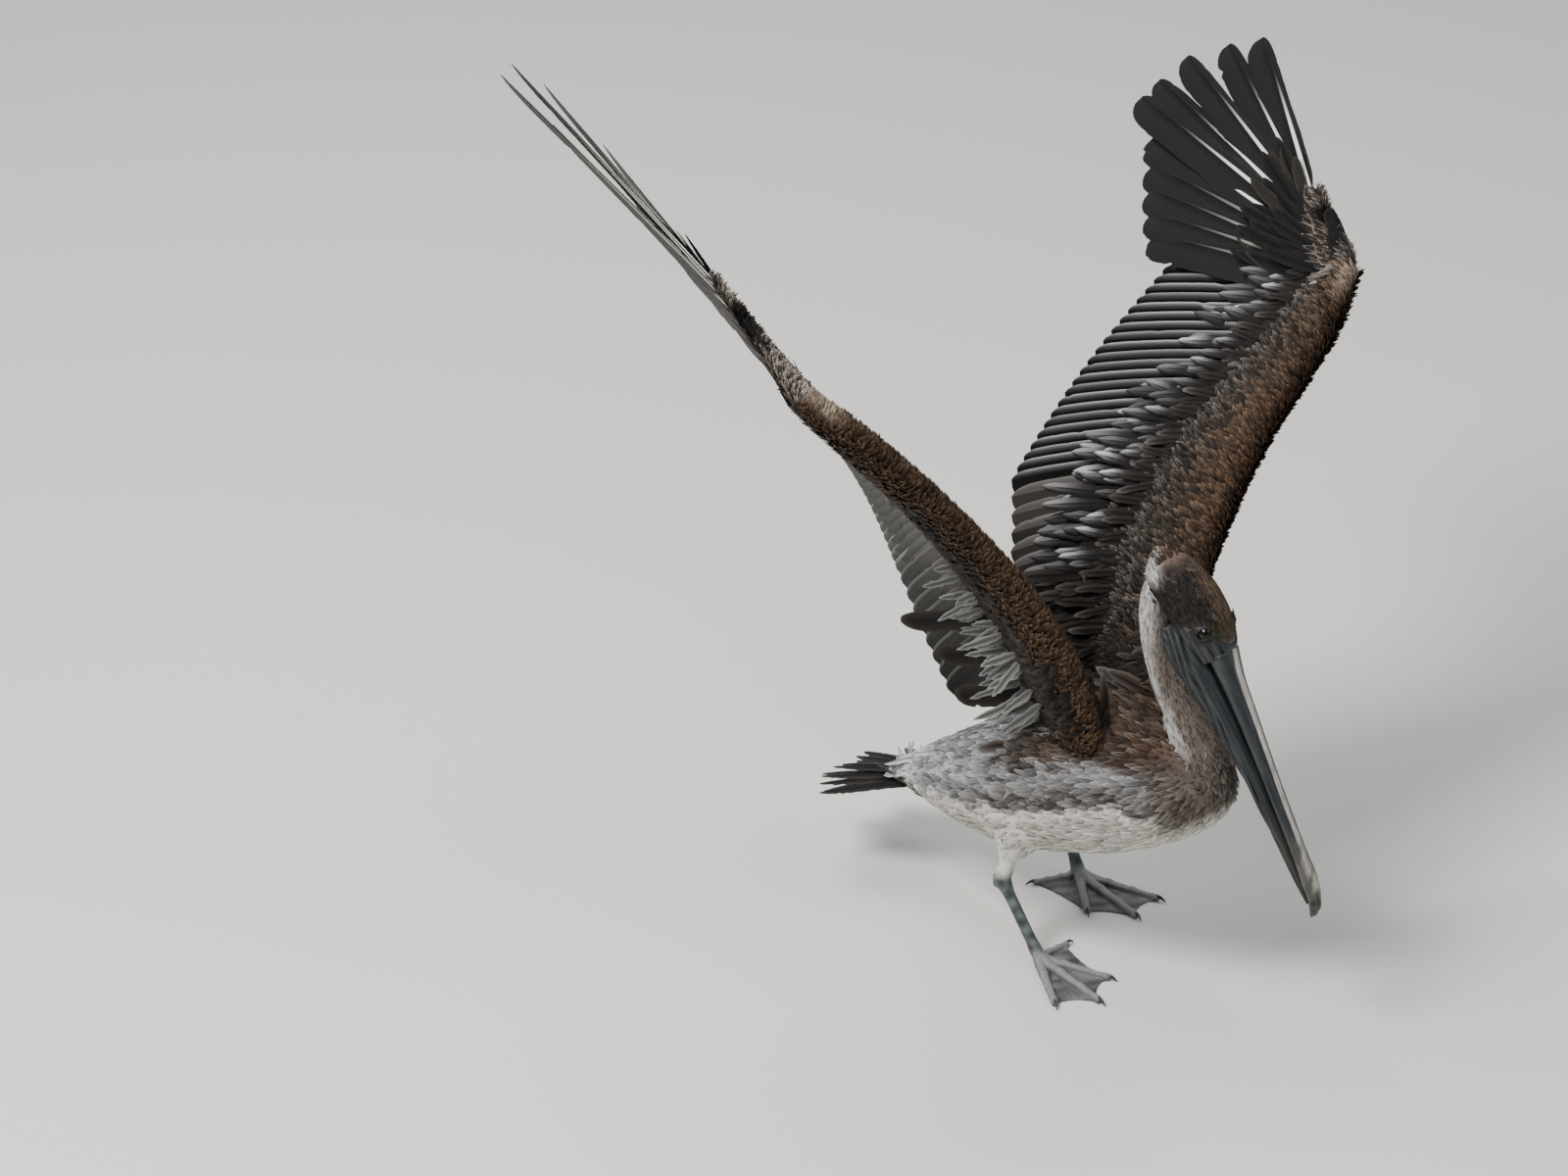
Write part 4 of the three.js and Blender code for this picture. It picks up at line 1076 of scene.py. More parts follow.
lower_points, lower_faces = loft(in_head(f, up, side))
f, h, side = head_axes_of(lower_points)
top, bottom, _ = through(LOWER_FORWARD, LOWER_SIZES, f).T
level = (h - (top + bottom) / 2) / ((top - bottom) / 2)
on_bar = step(level, 0.12, 0.24) * step(f, 0.012, 0.035)
horn_bar = blend(srgb(66, 71, 72), srgb(42, 49, 56), horn_streaks(f, h, side, 44))
colours = painted(
    face_colour(f, h, side),
    # Painted shade on the lower part of the hanging pouch.
    (srgb(42, 50, 58) * 0.8, 0.6 * step(level, -0.2, -0.8)),
    (blend(horn_bar, srgb(120, 112, 94), 0.35 * step(f, 0.14, 0.25)), on_bar),
    # Painted shade along the top edge, in the gap below the upper bill.
    (srgb(34, 36, 38), 0.8 * step(level, 0.84, 0.96)))
on_horn = on_bar[np.concatenate([group[:, 0] for group in lower_faces])] > 0.5
lower_bill = make_piece("lower_bill_and_pouch", lower_points, lower_faces, [face_skin, bill_horn],
                        colours, on_horn, horn_vane(f, h, side, 0.030))
hand_over(lower_bill, "pouch_skin", "bill_lower_and_pouch")

# %% [markdown]
# ## Eyes and claws
# Each eye is a whole ball with a bulge at the front, which sits under its lids. A young brown
# pelican has dark brown eyes. The claws are short bent cones of horn.

# %% Eyes
look = Look("eye", 0.12, 0.30)
fleck = look.spread(look.noise(look.place(), 1400, 4.0), 0.7, 1.3)
eye_material = look.marked(fleck, look.noise(look.place(), 300), 0.05, 0.00005)
tilt = np.linspace(0.02, math.pi - 0.02, 72)
spin = even_turns(96)[None, :, None]
radius = BALL_RADIUS + 0.0005 * np.exp(-(tilt / 0.42) ** 4)
for name, side in (("left", 1), ("right", -1)):
    middle, out, along, over = eye_axes(side)
    ring = (middle + outer(np.cos(tilt) * radius, out)[:, None]
            + (np.sin(tilt) * radius)[:, None, None] * (np.cos(spin) * over + np.sin(spin) * along))
    eye_points, eye_faces = loft(ring if side > 0 else ring[:, ::-1])
    lateral = np.linalg.norm(np.cross(eye_points - middle, out), axis=1)
    lateral = np.where((eye_points - middle) @ out > 0, lateral, 0.009)
    iris = blend(srgb(26, 17, 12), srgb(40, 26, 17), patches(eye_points, 0.002, 51, 1.0))
    tone = painted(
        srgb(6, 6, 7), (iris, step(lateral, 0.0024, 0.0028)), (srgb(10, 9, 9), step(lateral, 0.0048, 0.0054)))
    eye = make_piece(f"eyeball_{name}", eye_points, eye_faces, [eye_material], tone)
    hand_over(eye, "eye", f"eye_{name}")

# %% Claws
claw_shapes = []
s = np.linspace(0, 1, 18)
for leg in LEGS.values():
    for toe, (_, length, radius) in TOES.items():
        reach = length - CLAW_LENGTH - 0.0015 + s * (CLAW_LENGTH + 0.001)
        path = leg.foot + np.outer(reach, toe_way(leg, toe))
        path[:, 2] = radius * 0.95 + 0.0011 * np.sin(math.pi * s) - (radius * 0.95 - 0.0010) * s**2
        claw_shapes.append(tube(path, mix(0.62 * radius, 0.00045, s**1.2), sides=24, squash=0.72))
claw_points, claw_faces = joined(claw_shapes)
claw_tone = blend(srgb(46, 44, 42), srgb(104, 98, 88), patches(claw_points, 0.004, 52, 1.0))
claws = make_piece("claws", claw_points, claw_faces, [claw_horn], claw_tone, vane=claw_points[:, [1, 0, 2]])
hand_over(claws, "claw_horn", *[f"claw_{name}_{toe}" for name in LEGS for toe in TOES])

# %% [markdown]
# ## Large feathers
# A flight feather has a stiff shaft and two vanes, a narrow one toward the leading edge and a
# wide one behind it. Seen from above, the narrow vane of each feather lies on the wide vane of
# the next one out. Every large feather is a thin closed shape round its shaft, so it catches
# the light on both faces, and many are made at once from rows of numbers.

# %% Feather material
def feather_material(name, roughness, barbs, depth, contrast):
    """Markings, crossed by fine slanting barbs that start at the shaft."""
    look = Look(name, roughness, 0.12)
    place = look.place()
    lie = look.vane()
    off_shaft = look.math("MULTIPLY", look.math("ABSOLUTE", lie["Y"]), 1.3)
    uneven = look.spread(look.noise(place, 170), -0.0012, 0.0012)
    slant = look.math("ADD", look.math("SUBTRACT", lie["X"], off_shaft), uneven)
    wave = look.math("SINE", look.math("MULTIPLY", slant, barbs))
    fleck = look.spread(look.noise(place, 620, 4.0, 0.7), 1 - contrast, 1 + contrast)
    barb_tone = look.spread(look.math("MULTIPLY_ADD", wave, 0.5), 0.90, 1.10)
    own_tone = look.spread(lie["Z"], 0.86, 1.14)
    tone = look.math("MULTIPLY", look.math("MULTIPLY", fleck, barb_tone), own_tone)
    return look.marked(tone, wave, 0.35, depth)


flight_vane = feather_material("flight_vane", 0.50, 3800, 0.00022, 0.22)
covert_vane = feather_material("covert_vane", 0.70, 5200, 0.00020, 0.30)

# %% Feathers from rows of numbers
# The corners of a ring run over the top from the rear edge at -1 to the leading edge at 1, and
# then back below.
TOP_ROW = np.array([-1, -0.66, -0.34, -0.09, -0.05, 0, 0.05, 0.09, 0.34, 0.66, 1])
UNDER_ROW = np.array([0.6, 0.08, 0, -0.08, -0.6])
ACROSS = np.concatenate([TOP_ROW, UNDER_ROW])
ON_TOP = np.repeat([1.0, 0.0], [len(TOP_ROW), len(UNDER_ROW)])
VANE_HALF_THICK = 0.00016


def many_feathers(root, along, upper, lead_way, length, lead, trail, tone, rings=22, bow=0.002, sweep=0.0,
                  roll=0.0, twist=0.0, tip=0.75, blunt=2.4, lead_notch=0.0, trail_notch=0.0,
                  shaft=0.0006, arch=0.10, splits=2, ragged=0.03, seed=1):
    """Closed vanes round a shaft. root, along, upper and lead_way have one row for each feather.
    lead and trail are the widths of the two vanes, and tone gives the colour of each corner."""
    rng = np.random.default_rng(seed)
    count = len(root)
    length, lead, trail, bow, sweep, roll, twist, tip, blunt, lead_notch, trail_notch, shaft, arch = (
        np.broadcast_to(np.asarray(value, float), (count,))[:, None, None]
        for value in (length, lead, trail, bow, sweep, roll, twist, tip, blunt, lead_notch, trail_notch,
                      shaft, arch))
    along = unit(along)
    face = square_to(upper, along)
    side = square_to(square_to(lead_way, along), face)
    s = (1 - (1 - np.linspace(0, 1, rings)) ** 1.35)[None, :, None]
    a = ACROSS[None, None, :]
    top = ON_TOP[None, None, :]
    end = np.clip((s - tip) / (1 - tip), 0, 1)
    outline = (0.20 + 0.80 * step(s, 0.01, 0.17)) * np.maximum(1 - end**blunt, 0) ** (1 / blunt)
    outline = np.maximum(outline, 0.03)
    wear = 1 + ragged * rng.normal(size=(count, rings, 2))
    for feather in range(count):
        for _ in range(splits):
            ring = rng.integers(int(rings * 0.35), rings - 1)
            wear[feather, ring, rng.integers(0, 2)] *= rng.uniform(0.80, 0.96)
    leading = lead * outline * (1 - lead_notch * step(s, 0.42, 0.58)) * wear[:, :, :1]
    trailing = trail * outline * (1 - trail_notch * step(s, 0.36, 0.54)) * wear[:, :, 1:]
    wide = np.where(a > 0, leading, trailing)
    quill = shaft * (1 - 0.82 * s)
    reach = np.where(np.abs(a) > 0.06, 1.7, 1.0) * quill * np.sign(a)
    x = np.where(np.abs(a) < 0.2, np.clip(reach, -0.8 * trailing, 0.8 * leading), a * wide)
    z = -arch * a**2 * wide + (2 * top - 1) * VANE_HALF_THICK * (np.abs(a) < 0.99)
    z = z + (2 * top - 1) * np.where(np.abs(a) < 0.06, 0.8 * quill, 0.0)
    turn = roll + twist * s
    x_turned = x * np.cos(turn) - z * np.sin(turn) + sweep * s**2
    z_turned = x * np.sin(turn) + z * np.cos(turn) - bow * s**2
    points = (root[:, None, None] + along[:, None, None] * (s * length)[..., None]
              + side[:, None, None] * x_turned[..., None] + face[:, None, None] * z_turned[..., None])
    pick = rng.uniform(0, 1, count)[:, None, None]
    s, a, top, pick = np.broadcast_arrays(s, a, top, pick)
    edge = (np.abs(a) > 0.99)[..., None].astype(float)
    grids = [points, tone(s, a, top, pick), np.stack([s * length, x + 0 * s, pick], axis=-1), edge]
    clockwise = dot(np.cross(side, face), along)[:, 0] > 0
    for i, grid in enumerate(grids):
        grid[clockwise] = grid[clockwise][:, :, ::-1]
        flat = grid.reshape(count, rings * len(ACROSS), -1)
        hubs = [grid[:, ring].mean(1, keepdims=True) for ring in (0, -1)]
        grids[i] = np.concatenate([flat, *hubs], 1)
    return rings, grids


def feather_piece(name, sets, material, slot, *nodes):
    """Joins sets of large feathers. Each feather gets an oblong of its own on the bake map."""
    total = sum(len(grids[0]) for _, grids in sets)
    columns = max(1, int(math.sqrt(total / 3)))
    lines = -(-total // columns)
    scale = np.array([0.94 / columns, 0.90 / lines])
    sides = len(ACROSS)
    s = np.arange(sides)
    near_uv = np.stack([np.zeros((sides, 3)), np.stack([s + 0.5, s + 1, s], -1) / sides], -1)
    far_uv = np.stack([np.ones((sides, 3)), np.stack([s + 0.5, s, s + 1], -1) / sides], -1)
    hub_uv = np.concatenate([near_uv, far_uv])
    faces = []
    uv = []
    first = 0
    number = 0
    for rings, grids in sets:
        count, size = grids[0].shape[:2]
        r, c = np.divmod(np.arange((rings - 1) * sides), sides)
        quad_uv = np.stack([np.stack([r, r, r + 1, r + 1], -1) / (rings - 1),
                            np.stack([c, c + 1, c + 1, c], -1) / sides], -1)
        offsets = first + np.arange(count) * size
        cells = number + np.arange(count)
        corner = np.stack([(cells % columns) / columns, (cells // columns) / lines], -1)
        for shape, shape_uv in zip(closed_faces(rings, sides), (quad_uv, hub_uv)):
            faces.append((offsets[:, None, None] + shape[None]).reshape(-1, shape.shape[1]))
            uv.append((corner[:, None, None] + shape_uv[None] * scale + 0.03 * scale).reshape(-1, 2))
        first += count * size
        number += count
    points, colours, vane, edge = (
        np.concatenate([grids[i].reshape(-1, grids[i].shape[-1]) for _, grids in sets]) for i in range(4))
    piece = make_piece(name, points, faces, [material], colours, vane=vane, uv=np.concatenate(uv),
                       sharp=edge[:, 0] > 0.99)
    hand_over(piece, slot, *nodes)


# %% Colours of the large feathers
# Each tone reads s from the root to the tip, a from the rear edge at -1 to the leading edge at
# 1, top (1 above and 0 below) and a number between 0 and 1 for each feather.
def black_flight(bright_shaft):
    """Black vanes with a pale shaft that darkens toward the tip. The inner ones are greyer."""
    def tone(s, a, top, pick):
        under = blend(srgb(50, 48, 47), srgb(30, 28, 28), step(s, 0.4, 0.9))
        upper = painted(
            FLIGHT_BLACK, (srgb(36, 33, 34), np.clip(0.5 * pick + 0.4 * (a > 0), 0, 1) * 0.5),
            (srgb(52, 46, 42), step(s, 0.84, 1.0) * 0.5))
        shaft = blend(srgb(52, 46, 42), srgb(240, 238, 232), step(s, 0.80, 0.36) * bright_shaft)
        return painted(
            under, (upper, top), (srgb(78, 76, 76), 0.4 * top * step(a, 0.86, 1.0) * step(s, 0.9, 0.5)),
            (shaft, np.abs(a) < 0.06))
    return tone


def grey_secondary(s, a, top, pick):
    """Silvery on the leading vane, black behind it."""
    grey = blend(srgb(104, 104, 108), srgb(184, 185, 190), step(a, 0.60, 1.0))
    upper = painted(
        FLIGHT_BLACK, (blend(grey, srgb(74, 73, 75), 0.6 * pick), step(a, 0.15, 0.55)),
        (FLIGHT_BLACK, 0.5 * step(s, 0.88, 1.0)))
    under = painted(
        srgb(104, 103, 94), (srgb(70, 69, 63), step(s, 0.4, 1.0)), (srgb(124, 124, 116), 0.4 * (a > 0.5)))
    shaft = blend(srgb(44, 40, 38), srgb(120, 116, 110), 0.6 * (1 - top))
    return painted(under, (upper, top), (shaft, np.abs(a) < 0.06))


def grey_tertial(s, a, top, pick):
    """Brownish grey, with painted shade on the rear vane behind the shaft."""
    # The third coat is painted shade on the rear vane.
    grey = painted(
        srgb(94, 90, 88), (srgb(134, 132, 130), step(a, 0.5, 1.0)),
        (srgb(40, 37, 36), 0.75 * step(a, 0.25, -0.3)), (srgb(84, 76, 70), 0.5 * pick))
    return blend(blend(srgb(74, 68, 60), srgb(36, 32, 29), step(s, 0.3, 0.8)), grey, top)


def both_faces(under, upper, top):
    """The upper face's colour, which shows through below."""
    return blend(srgb(*under), upper, np.maximum(top, 0.35))


def covert_tone(centre, body, fringe, under):
    """A dark line along the shaft, a paler vane, a pale fringe, and painted shade toward the root."""
    def tone(s, a, top, pick):
        rim = np.maximum(step(np.abs(a), 0.55, 1.0), step(s, 0.86, 1.0))
        # The last coat is painted shade: the body colour, darker toward the root.
        upper = painted(
            srgb(*body), (srgb(*centre), step(np.abs(a), 0.5, 0.05) * 0.8),
            (srgb(*fringe), rim * (0.55 + 0.45 * pick)), (srgb(*body) * 0.72, 0.6 * step(s, 0.5, 0.1)))
        return both_faces(under, upper, top)
    return tone


def silver_covert(s, a, top, pick):
    """Dark at the root and on the rear vane, silvery toward the tip."""
    silver = blend(srgb(112, 110, 112), srgb(188, 188, 193), (0.15 + 0.85 * pick) * step(s, 0.40, 0.95))
    upper = painted(
        srgb(46, 43, 42), (silver, step(s, 0.30, 0.80) * step(a, -0.8, 0.2) * (0.55 + 0.45 * pick)),
        (srgb(58, 54, 53), 0.8 * step(np.abs(a + 0.1), 0.18, 0.05) * step(s, 0.98, 0.7)))
    return both_faces((84, 82, 80), upper, top)


def dull_covert(s, a, top, pick):
    """Grey-brown, frayed into a paler tip. The amount differs from feather to feather."""
    upper = painted(
        srgb(56, 50, 46), (srgb(96, 90, 85), step(s, 0.45, 0.9) * (0.3 + 0.7 * pick)),
        (srgb(40, 36, 34), 0.8 * step(np.abs(a), 0.5, 0.1) * step(s, 0.95, 0.7)),
        (srgb(138, 133, 128), 0.7 * step(s, 0.84, 1.0) * pick))
    return both_faces((70, 66, 62), upper, top)


black_covert = covert_tone((16, 15, 15), (30, 28, 28), (54, 50, 49), (44, 42, 41))
mottled_covert = covert_tone((40, 33, 30), (74, 62, 56), (170, 158, 150), (80, 72, 66))
under_covert = covert_tone((88, 86, 78), (108, 106, 98), (134, 133, 125), (92, 90, 84))
dark_under = covert_tone((34, 30, 28), (52, 46, 42), (82, 75, 68), (58, 54, 50))
axillar_tone = covert_tone((84, 83, 80), (124, 124, 122), (170, 172, 173), (96, 95, 93))
scapular_tone = covert_tone((40, 34, 32), (86, 74, 66), (124, 112, 102), (60, 52, 46))
tail_tone = covert_tone((20, 18, 17), (38, 33, 30), (78, 70, 64), (40, 37, 35))
white_covert = covert_tone((120, 121, 123), (186, 189, 192), (228, 230, 232), (140, 140, 142))


# %% Where feathers leave a wing, and which way they lie
def surface_frame(place, wing, along, turn, sink, parting=0.0):
    """Where a point of the arm or hand is, and which way is out, rearward and outward there."""
    tiny = 0.004
    here = place(wing, along, turn, sink)
    sign = np.where(turn >= parting, 1, -1)
    rearward = unit(place(wing, along, turn + sign * tiny, sink) - here)
    outward = unit(place(wing, along + tiny, turn, sink) - here)
    out = unit(np.cross(outward, rearward)) * (wing.side * sign)[:, None]
    return here, out, rearward, outward


def rear_turn(share):
    """The turn at which a point lies this share of the chord behind the front edge."""
    return np.arccos(1 - 2 * share) / math.pi


FOREARM_SHARE = 0.72
UPPER_ARM_SHARE = 0.28
FAN_PLACE = np.arange(10) / 9
FAN_TURN = [-0.033, 0.094, 0.235, 0.337, 0.416, 0.483, 0.554, 0.624, 0.696, 0.770]
FAN_LIFT = [0.0, -0.040, 0.030, -0.020, 0.045, 0.005, 0.0, 0.0, 0.0, 0.0]
FAN_LENGTH = [0.302, 0.334, 0.345, 0.353, 0.343, 0.294, 0.269, 0.250, 0.233, 0.216]


def arm_shares(t):
    """How far t has gone along the forearm, and then along the upper arm."""
    return np.minimum(t / FOREARM_SHARE, 1), np.maximum((t - FOREARM_SHARE) / UPPER_ARM_SHARE, 0)


def secondary_way(wing, t):
    """The way of the flight feathers along the arm: t is 0 at the wrist and 1 at the body."""
    far, near = (share[:, None] for share in arm_shares(t))
    on_forearm = unit(mix(wing.wristward, wing.inner, far))
    return np.where(near > 0, unit(mix(wing.inner, wing.tertial, near)), on_forearm)


def fan_way(wing, straight, t):
    """The way of the primaries: t is 0 at the wing tip and 1 at the wrist."""
    return unit(mix(straight, wing.wristward, np.interp(t, FAN_PLACE, FAN_TURN)[:, None]))


def same(vector, count):
    return np.broadcast_to(vector, (count, 3))


# %% Flight feathers
def primaries(wing, count=10, bright=6):
    """The ten feathers of the hand. The outer ones have notched vanes and brighter shafts."""
    t = np.arange(count) / (count - 1)
    root = (wing.wrist + np.outer(HAND * mix(1.25, 0.1, t), wing.outward)
            + np.outer(mix(0.004, 0.024, t), wing.hand_back))
    lift = np.outer(wing.splay * np.interp(t, FAN_PLACE, FAN_LIFT), wing.hand_upper)
    along = unit(fan_way(wing, unit(wing.tip - root), t) + lift)
    length = np.interp(t, FAN_PLACE, FAN_LENGTH)
    width = mix(0.043, 0.046, t)
    notched = step(t, 0.62, 0.25)
    sets = []
    for part, bright_shaft in ((slice(bright), 1.0), (slice(bright, count), 0.30)):
        n = len(t[part])
        sets.append(many_feathers(
            root[part], along[part], same(wing.hand_upper, n), same(wing.outward - wing.hand_back, n),
            length[part], mix(0.30, 0.16, notched[part]) * width[part], 0.68 * width[part],
            black_flight(bright_shaft), rings=34, bow=mix(0.002, 0.6 * wing.outer_bow, t[part]),
            sweep=-0.003 * notched[part], roll=0.10, twist=-0.05, tip=0.84, blunt=2.3,
            lead_notch=0.15 * notched[part], trail_notch=0.24 * notched[part], shaft=0.0018, arch=0.06,
            splits=3, ragged=0.012, seed=61 + wing.side))
    return sets


def secondaries(wing, count=30, last=8):
    """The secondaries along the forearm, and the broad inner ones over the body."""
    t = np.arange(count) / (count - 1)
    far, near = arm_shares(t)
    body_end = wing.shoulder + wing.back * 0.060 + wing.upper * 0.020
    root = mix(mix(wing.wrist, wing.elbow, far[:, None]), body_end, (0.62 * near)[:, None])
    root = root + wing.back * 0.012 + np.outer(0.012 * np.sin(math.pi * far), wing.upper)
    along = secondary_way(wing, t)
    short = wing.tertial_length
    length = mix(mix(0.188, short, t), short - 0.022, near) + 0.004
    bow = mix(wing.outer_bow, 0.021, far)
    split = count - last

    def some(part, lead, trail, tone, **more):
        n = len(t[part])
        return many_feathers(root[part], along[part], same(wing.upper, n), same(wing.span, n), length[part],
                             lead, trail, tone, blunt=2.0, shaft=0.0012, **more)

    return [
        some(slice(split), 0.0066, 0.0185, grey_secondary, rings=28, bow=bow[:split], sweep=-0.004, roll=0.10,
             twist=-0.02, tip=0.88, arch=0.07, ragged=0.010, seed=63 + wing.side),
        some(slice(split, count), 0.0095, 0.0205, grey_tertial, rings=26, bow=0.020, sweep=-0.003, roll=0.13,
             twist=-0.03, tip=0.80, arch=0.08, ragged=0.012, seed=65 + wing.side),
    ]


# %% Coverts
def covert_row(wing, place, along, turn, way, length, lead, trail, tone, lift, seed, sink=0.0025, rings=14,
               jitter=0.05, follow=0.35, **more):
    """A row of coverts on the arm or hand. They lie nearly flat and follow the flight feathers."""
    rng = np.random.default_rng(seed)
    turn = np.broadcast_to(turn, along.shape)
    here, out, _, outward = surface_frame(place, wing, along, turn, sink)
    lie = unit(mix(way, square_to(way, out), follow) + lift * out + jitter * rng.normal(size=here.shape))
    size = length * (1 + 0.07 * rng.normal(size=len(along)))
    return many_feathers(here, lie, out, outward, size, lead, trail, tone, rings=rings, seed=seed, **more)


def arm_coverts(wing):
    """Rows of coverts from the rear of the arm forward, over and under the wing."""
    seed = 70 + wing.side
    sets = []
    for number, (count, share, length, lead, trail, tone, lift) in enumerate((
            (44, 0.86, 0.074, 0.0050, 0.0072, silver_covert, 0.05),
            (50, 0.78, 0.058, 0.0044, 0.0060, silver_covert, 0.06),
            (54, 0.70, 0.046, 0.0040, 0.0050, silver_covert, 0.07),
            (62, 0.60, 0.038, 0.0034, 0.0042, dull_covert, 0.07))):
        for far, near, toned in ((0.98, 0.22, tone), (0.20, 0.04, dull_covert)):
            along = np.linspace(far, near, int(count * (far - near) / 0.88) + 1)
            sets.append(covert_row(
                wing, arm_place, along, rear_turn(share), secondary_way(wing, 1 - along),
                length * mix(0.85, 1.10, 1 - along), lead, trail, toned, lift,
                seed + 10 * number + (far < 0.5), roll=0.12, tip=0.66, blunt=1.8, bow=0.004, splits=3,
                ragged=0.08, jitter=0.12, follow=0.12, rings=9))
    for number, (count, share, length, lead, trail, tone, lift) in enumerate((
            (32, 0.84, 0.052, 0.0070, 0.0085, under_covert, 0.0),
            (38, 0.70, 0.044, 0.0056, 0.0064, under_covert, 0.03),
            (44, 0.54, 0.034, 0.0046, 0.0052, dark_under, 0.07))):
        along = np.linspace(0.97, 0.10, count)
        sets.append(covert_row(
            wing, arm_place, along, -rear_turn(share), secondary_way(wing, 1 - along), length, lead, trail,
            tone, lift, seed + 50 + 10 * number, roll=-0.06, tip=0.6, blunt=1.8, bow=0.003, shaft=0.0005,
            arch=0.08, splits=1, ragged=0.02, jitter=0.03, follow=0.12, rings=10))
    return sets


def hand_coverts(wing):
    """Primary coverts, the alula on the leading edge and mottled coverts of the hand."""
    seed = 90 + wing.side
    sets = []
    way = unit(wing.tip - wing.wrist)
    for sign, tone in ((1, black_covert), (-1, dark_under)):
        for count, share, longer, width in ((15, 0.70, 1.0, 1.0), (18, 0.55, 0.66, 0.8)):
            t = np.linspace(0, 1, count)
            sets.append(covert_row(
                wing, hand_place, np.linspace(1.25, 0.06, count), sign * rear_turn(share),
                fan_way(wing, way, t), longer * mix(0.106, 0.104, t), 0.0050 * width, 0.0090 * width, tone,
                0.04 if sign > 0 else 0.0, seed + sign + int(40 * share), roll=0.10 * sign, tip=0.62,
                blunt=1.7, shaft=0.0007, rings=16, follow=0.05))
        for share, length in ((0.44, 0.034), (0.28, 0.024)):
            sets.append(covert_row(
                wing, hand_place, np.linspace(1.2, 0.04, 20), sign * rear_turn(share),
                fan_way(wing, way, np.linspace(0, 1, 20)), length, 0.0036, 0.0046, mottled_covert, 0.03,
                seed + 3 * sign + int(100 * share), roll=0.08, tip=0.50, blunt=1.4, arch=0.12, sink=0.001,
                ragged=0.08, follow=0.55, jitter=0.06))
    alula_way = same(unit(way - 0.01 * wing.hand_upper + 0.04 * wing.hand_back), 4)
    alula_way = unit(alula_way + np.outer(np.linspace(-0.03, 0.08, 4), wing.hand_back))
    sets.append(covert_row(
        wing, hand_place, np.linspace(0.30, 0.02, 4), 0.16, alula_way, np.linspace(0.066, 0.044, 4), 0.0055,
        0.0105, black_covert, 0.04, seed + 7, roll=0.10, tip=0.66, blunt=1.8, shaft=0.0009, arch=0.15,
        splits=1, rings=16, jitter=0.01))
    return sets


def axillars(wing):
    """Long pointed white feathers in the armpit, below the inner wing, and three rounded ones."""
    count = 44
    rng = np.random.default_rng(109)
    along = np.linspace(0.36, 0.0, count) + 0.012 * rng.normal(size=count)
    share = 0.62 + 0.12 * rng.normal(size=count)
    size = np.linspace(0.044, 0.066, count) * (1 + 0.18 * rng.normal(size=count))
    pointed = covert_row(
        wing, arm_place, along, -rear_turn(share), same(unit([0.05 * wing.side, 0.80, -0.58]), count), size,
        0.0034, 0.0044, axillar_tone, 0.04, 110 + wing.side, roll=-0.05, tip=0.50, blunt=1.6, bow=0.004,
        splits=3, ragged=0.16, follow=0.10, jitter=0.13)
    rounded = covert_row(
        wing, arm_place, np.array([0.23, 0.14, 0.05]), -rear_turn(0.86),
        same(unit([0.02 * wing.side, 0.93, -0.36]), 3), np.array([0.112, 0.110, 0.104]), 0.0105, 0.0130,
        dark_under, 0.0, 114 + wing.side, roll=-0.05, tip=0.70, blunt=2.2, bow=0.004, shaft=0.0012,
        arch=0.08, splits=1, ragged=0.01, rings=20, follow=0.0, jitter=0.01)
    return [pointed, rounded]


for name, wing in WINGS.items():
    feather_piece(f"flight_feathers_{name}", primaries(wing) + secondaries(wing), flight_vane,
                  "flight_feathers", f"wing_{name}_primaries", f"wing_{name}_secondaries")
    coverts = arm_coverts(wing) + hand_coverts(wing) + axillars(wing)
    feather_piece(f"wing_coverts_{name}", coverts, covert_vane, "brown_plumage")

# %% [markdown]
# ## Scapulars and tail
# Long scapulars close the gap between the raised wings and the back. The tail is short, dark and
# worn to narrow points, and white coverts hide the roots of its feathers.

# %% Scapulars
ROOT_DEPTH = 0.002
SCAPULARS_IN_ROW = 16
skin_tree = tree_of(skin_points, [skin_faces])


def body_row(starts, way, length, lead, trail, tone, lift, seed, jitter=0.04, stray=1.0, least_up=-2.0,
             **more):
    """Large feathers that leave the skin near the given points and lie along the body."""
    rng = np.random.default_rng(seed)
    found = [skin_tree.find_nearest(p) for p in starts]
    here = np.array([f[0] for f in found])
    out = np.array([f[1] for f in found])
    good = (np.linalg.norm(here - starts, axis=1) < stray) & (out[:, 2] > least_up)
    starts, here, out, way = starts[good], here[good], out[good], unit(way)[good]
    length = np.broadcast_to(length, good.shape)[good]
    lie = unit(square_to(way, out) + lift * out + jitter * rng.normal(size=way.shape))
    outward = np.cross(out, lie) * np.sign(starts[:, :1] + 1e-6)
    return many_feathers(here - out * ROOT_DEPTH, lie, out, outward, length, lead, trail, tone, rings=12,
                         seed=seed, **more)


def xyz(*values):
    """Points or ways from numbers and rows of numbers for x, y and z."""
    return np.stack(np.broadcast_arrays(*values), axis=-1).astype(float)


def scapular_shade(s, a, top, pick):
    """The dark scapulars, some of them greyer and frayed."""
    return blend(scapular_tone(s, a, top, pick), srgb(150, 148, 146), 0.35 * pick * step(s, 0.5, 1.0))


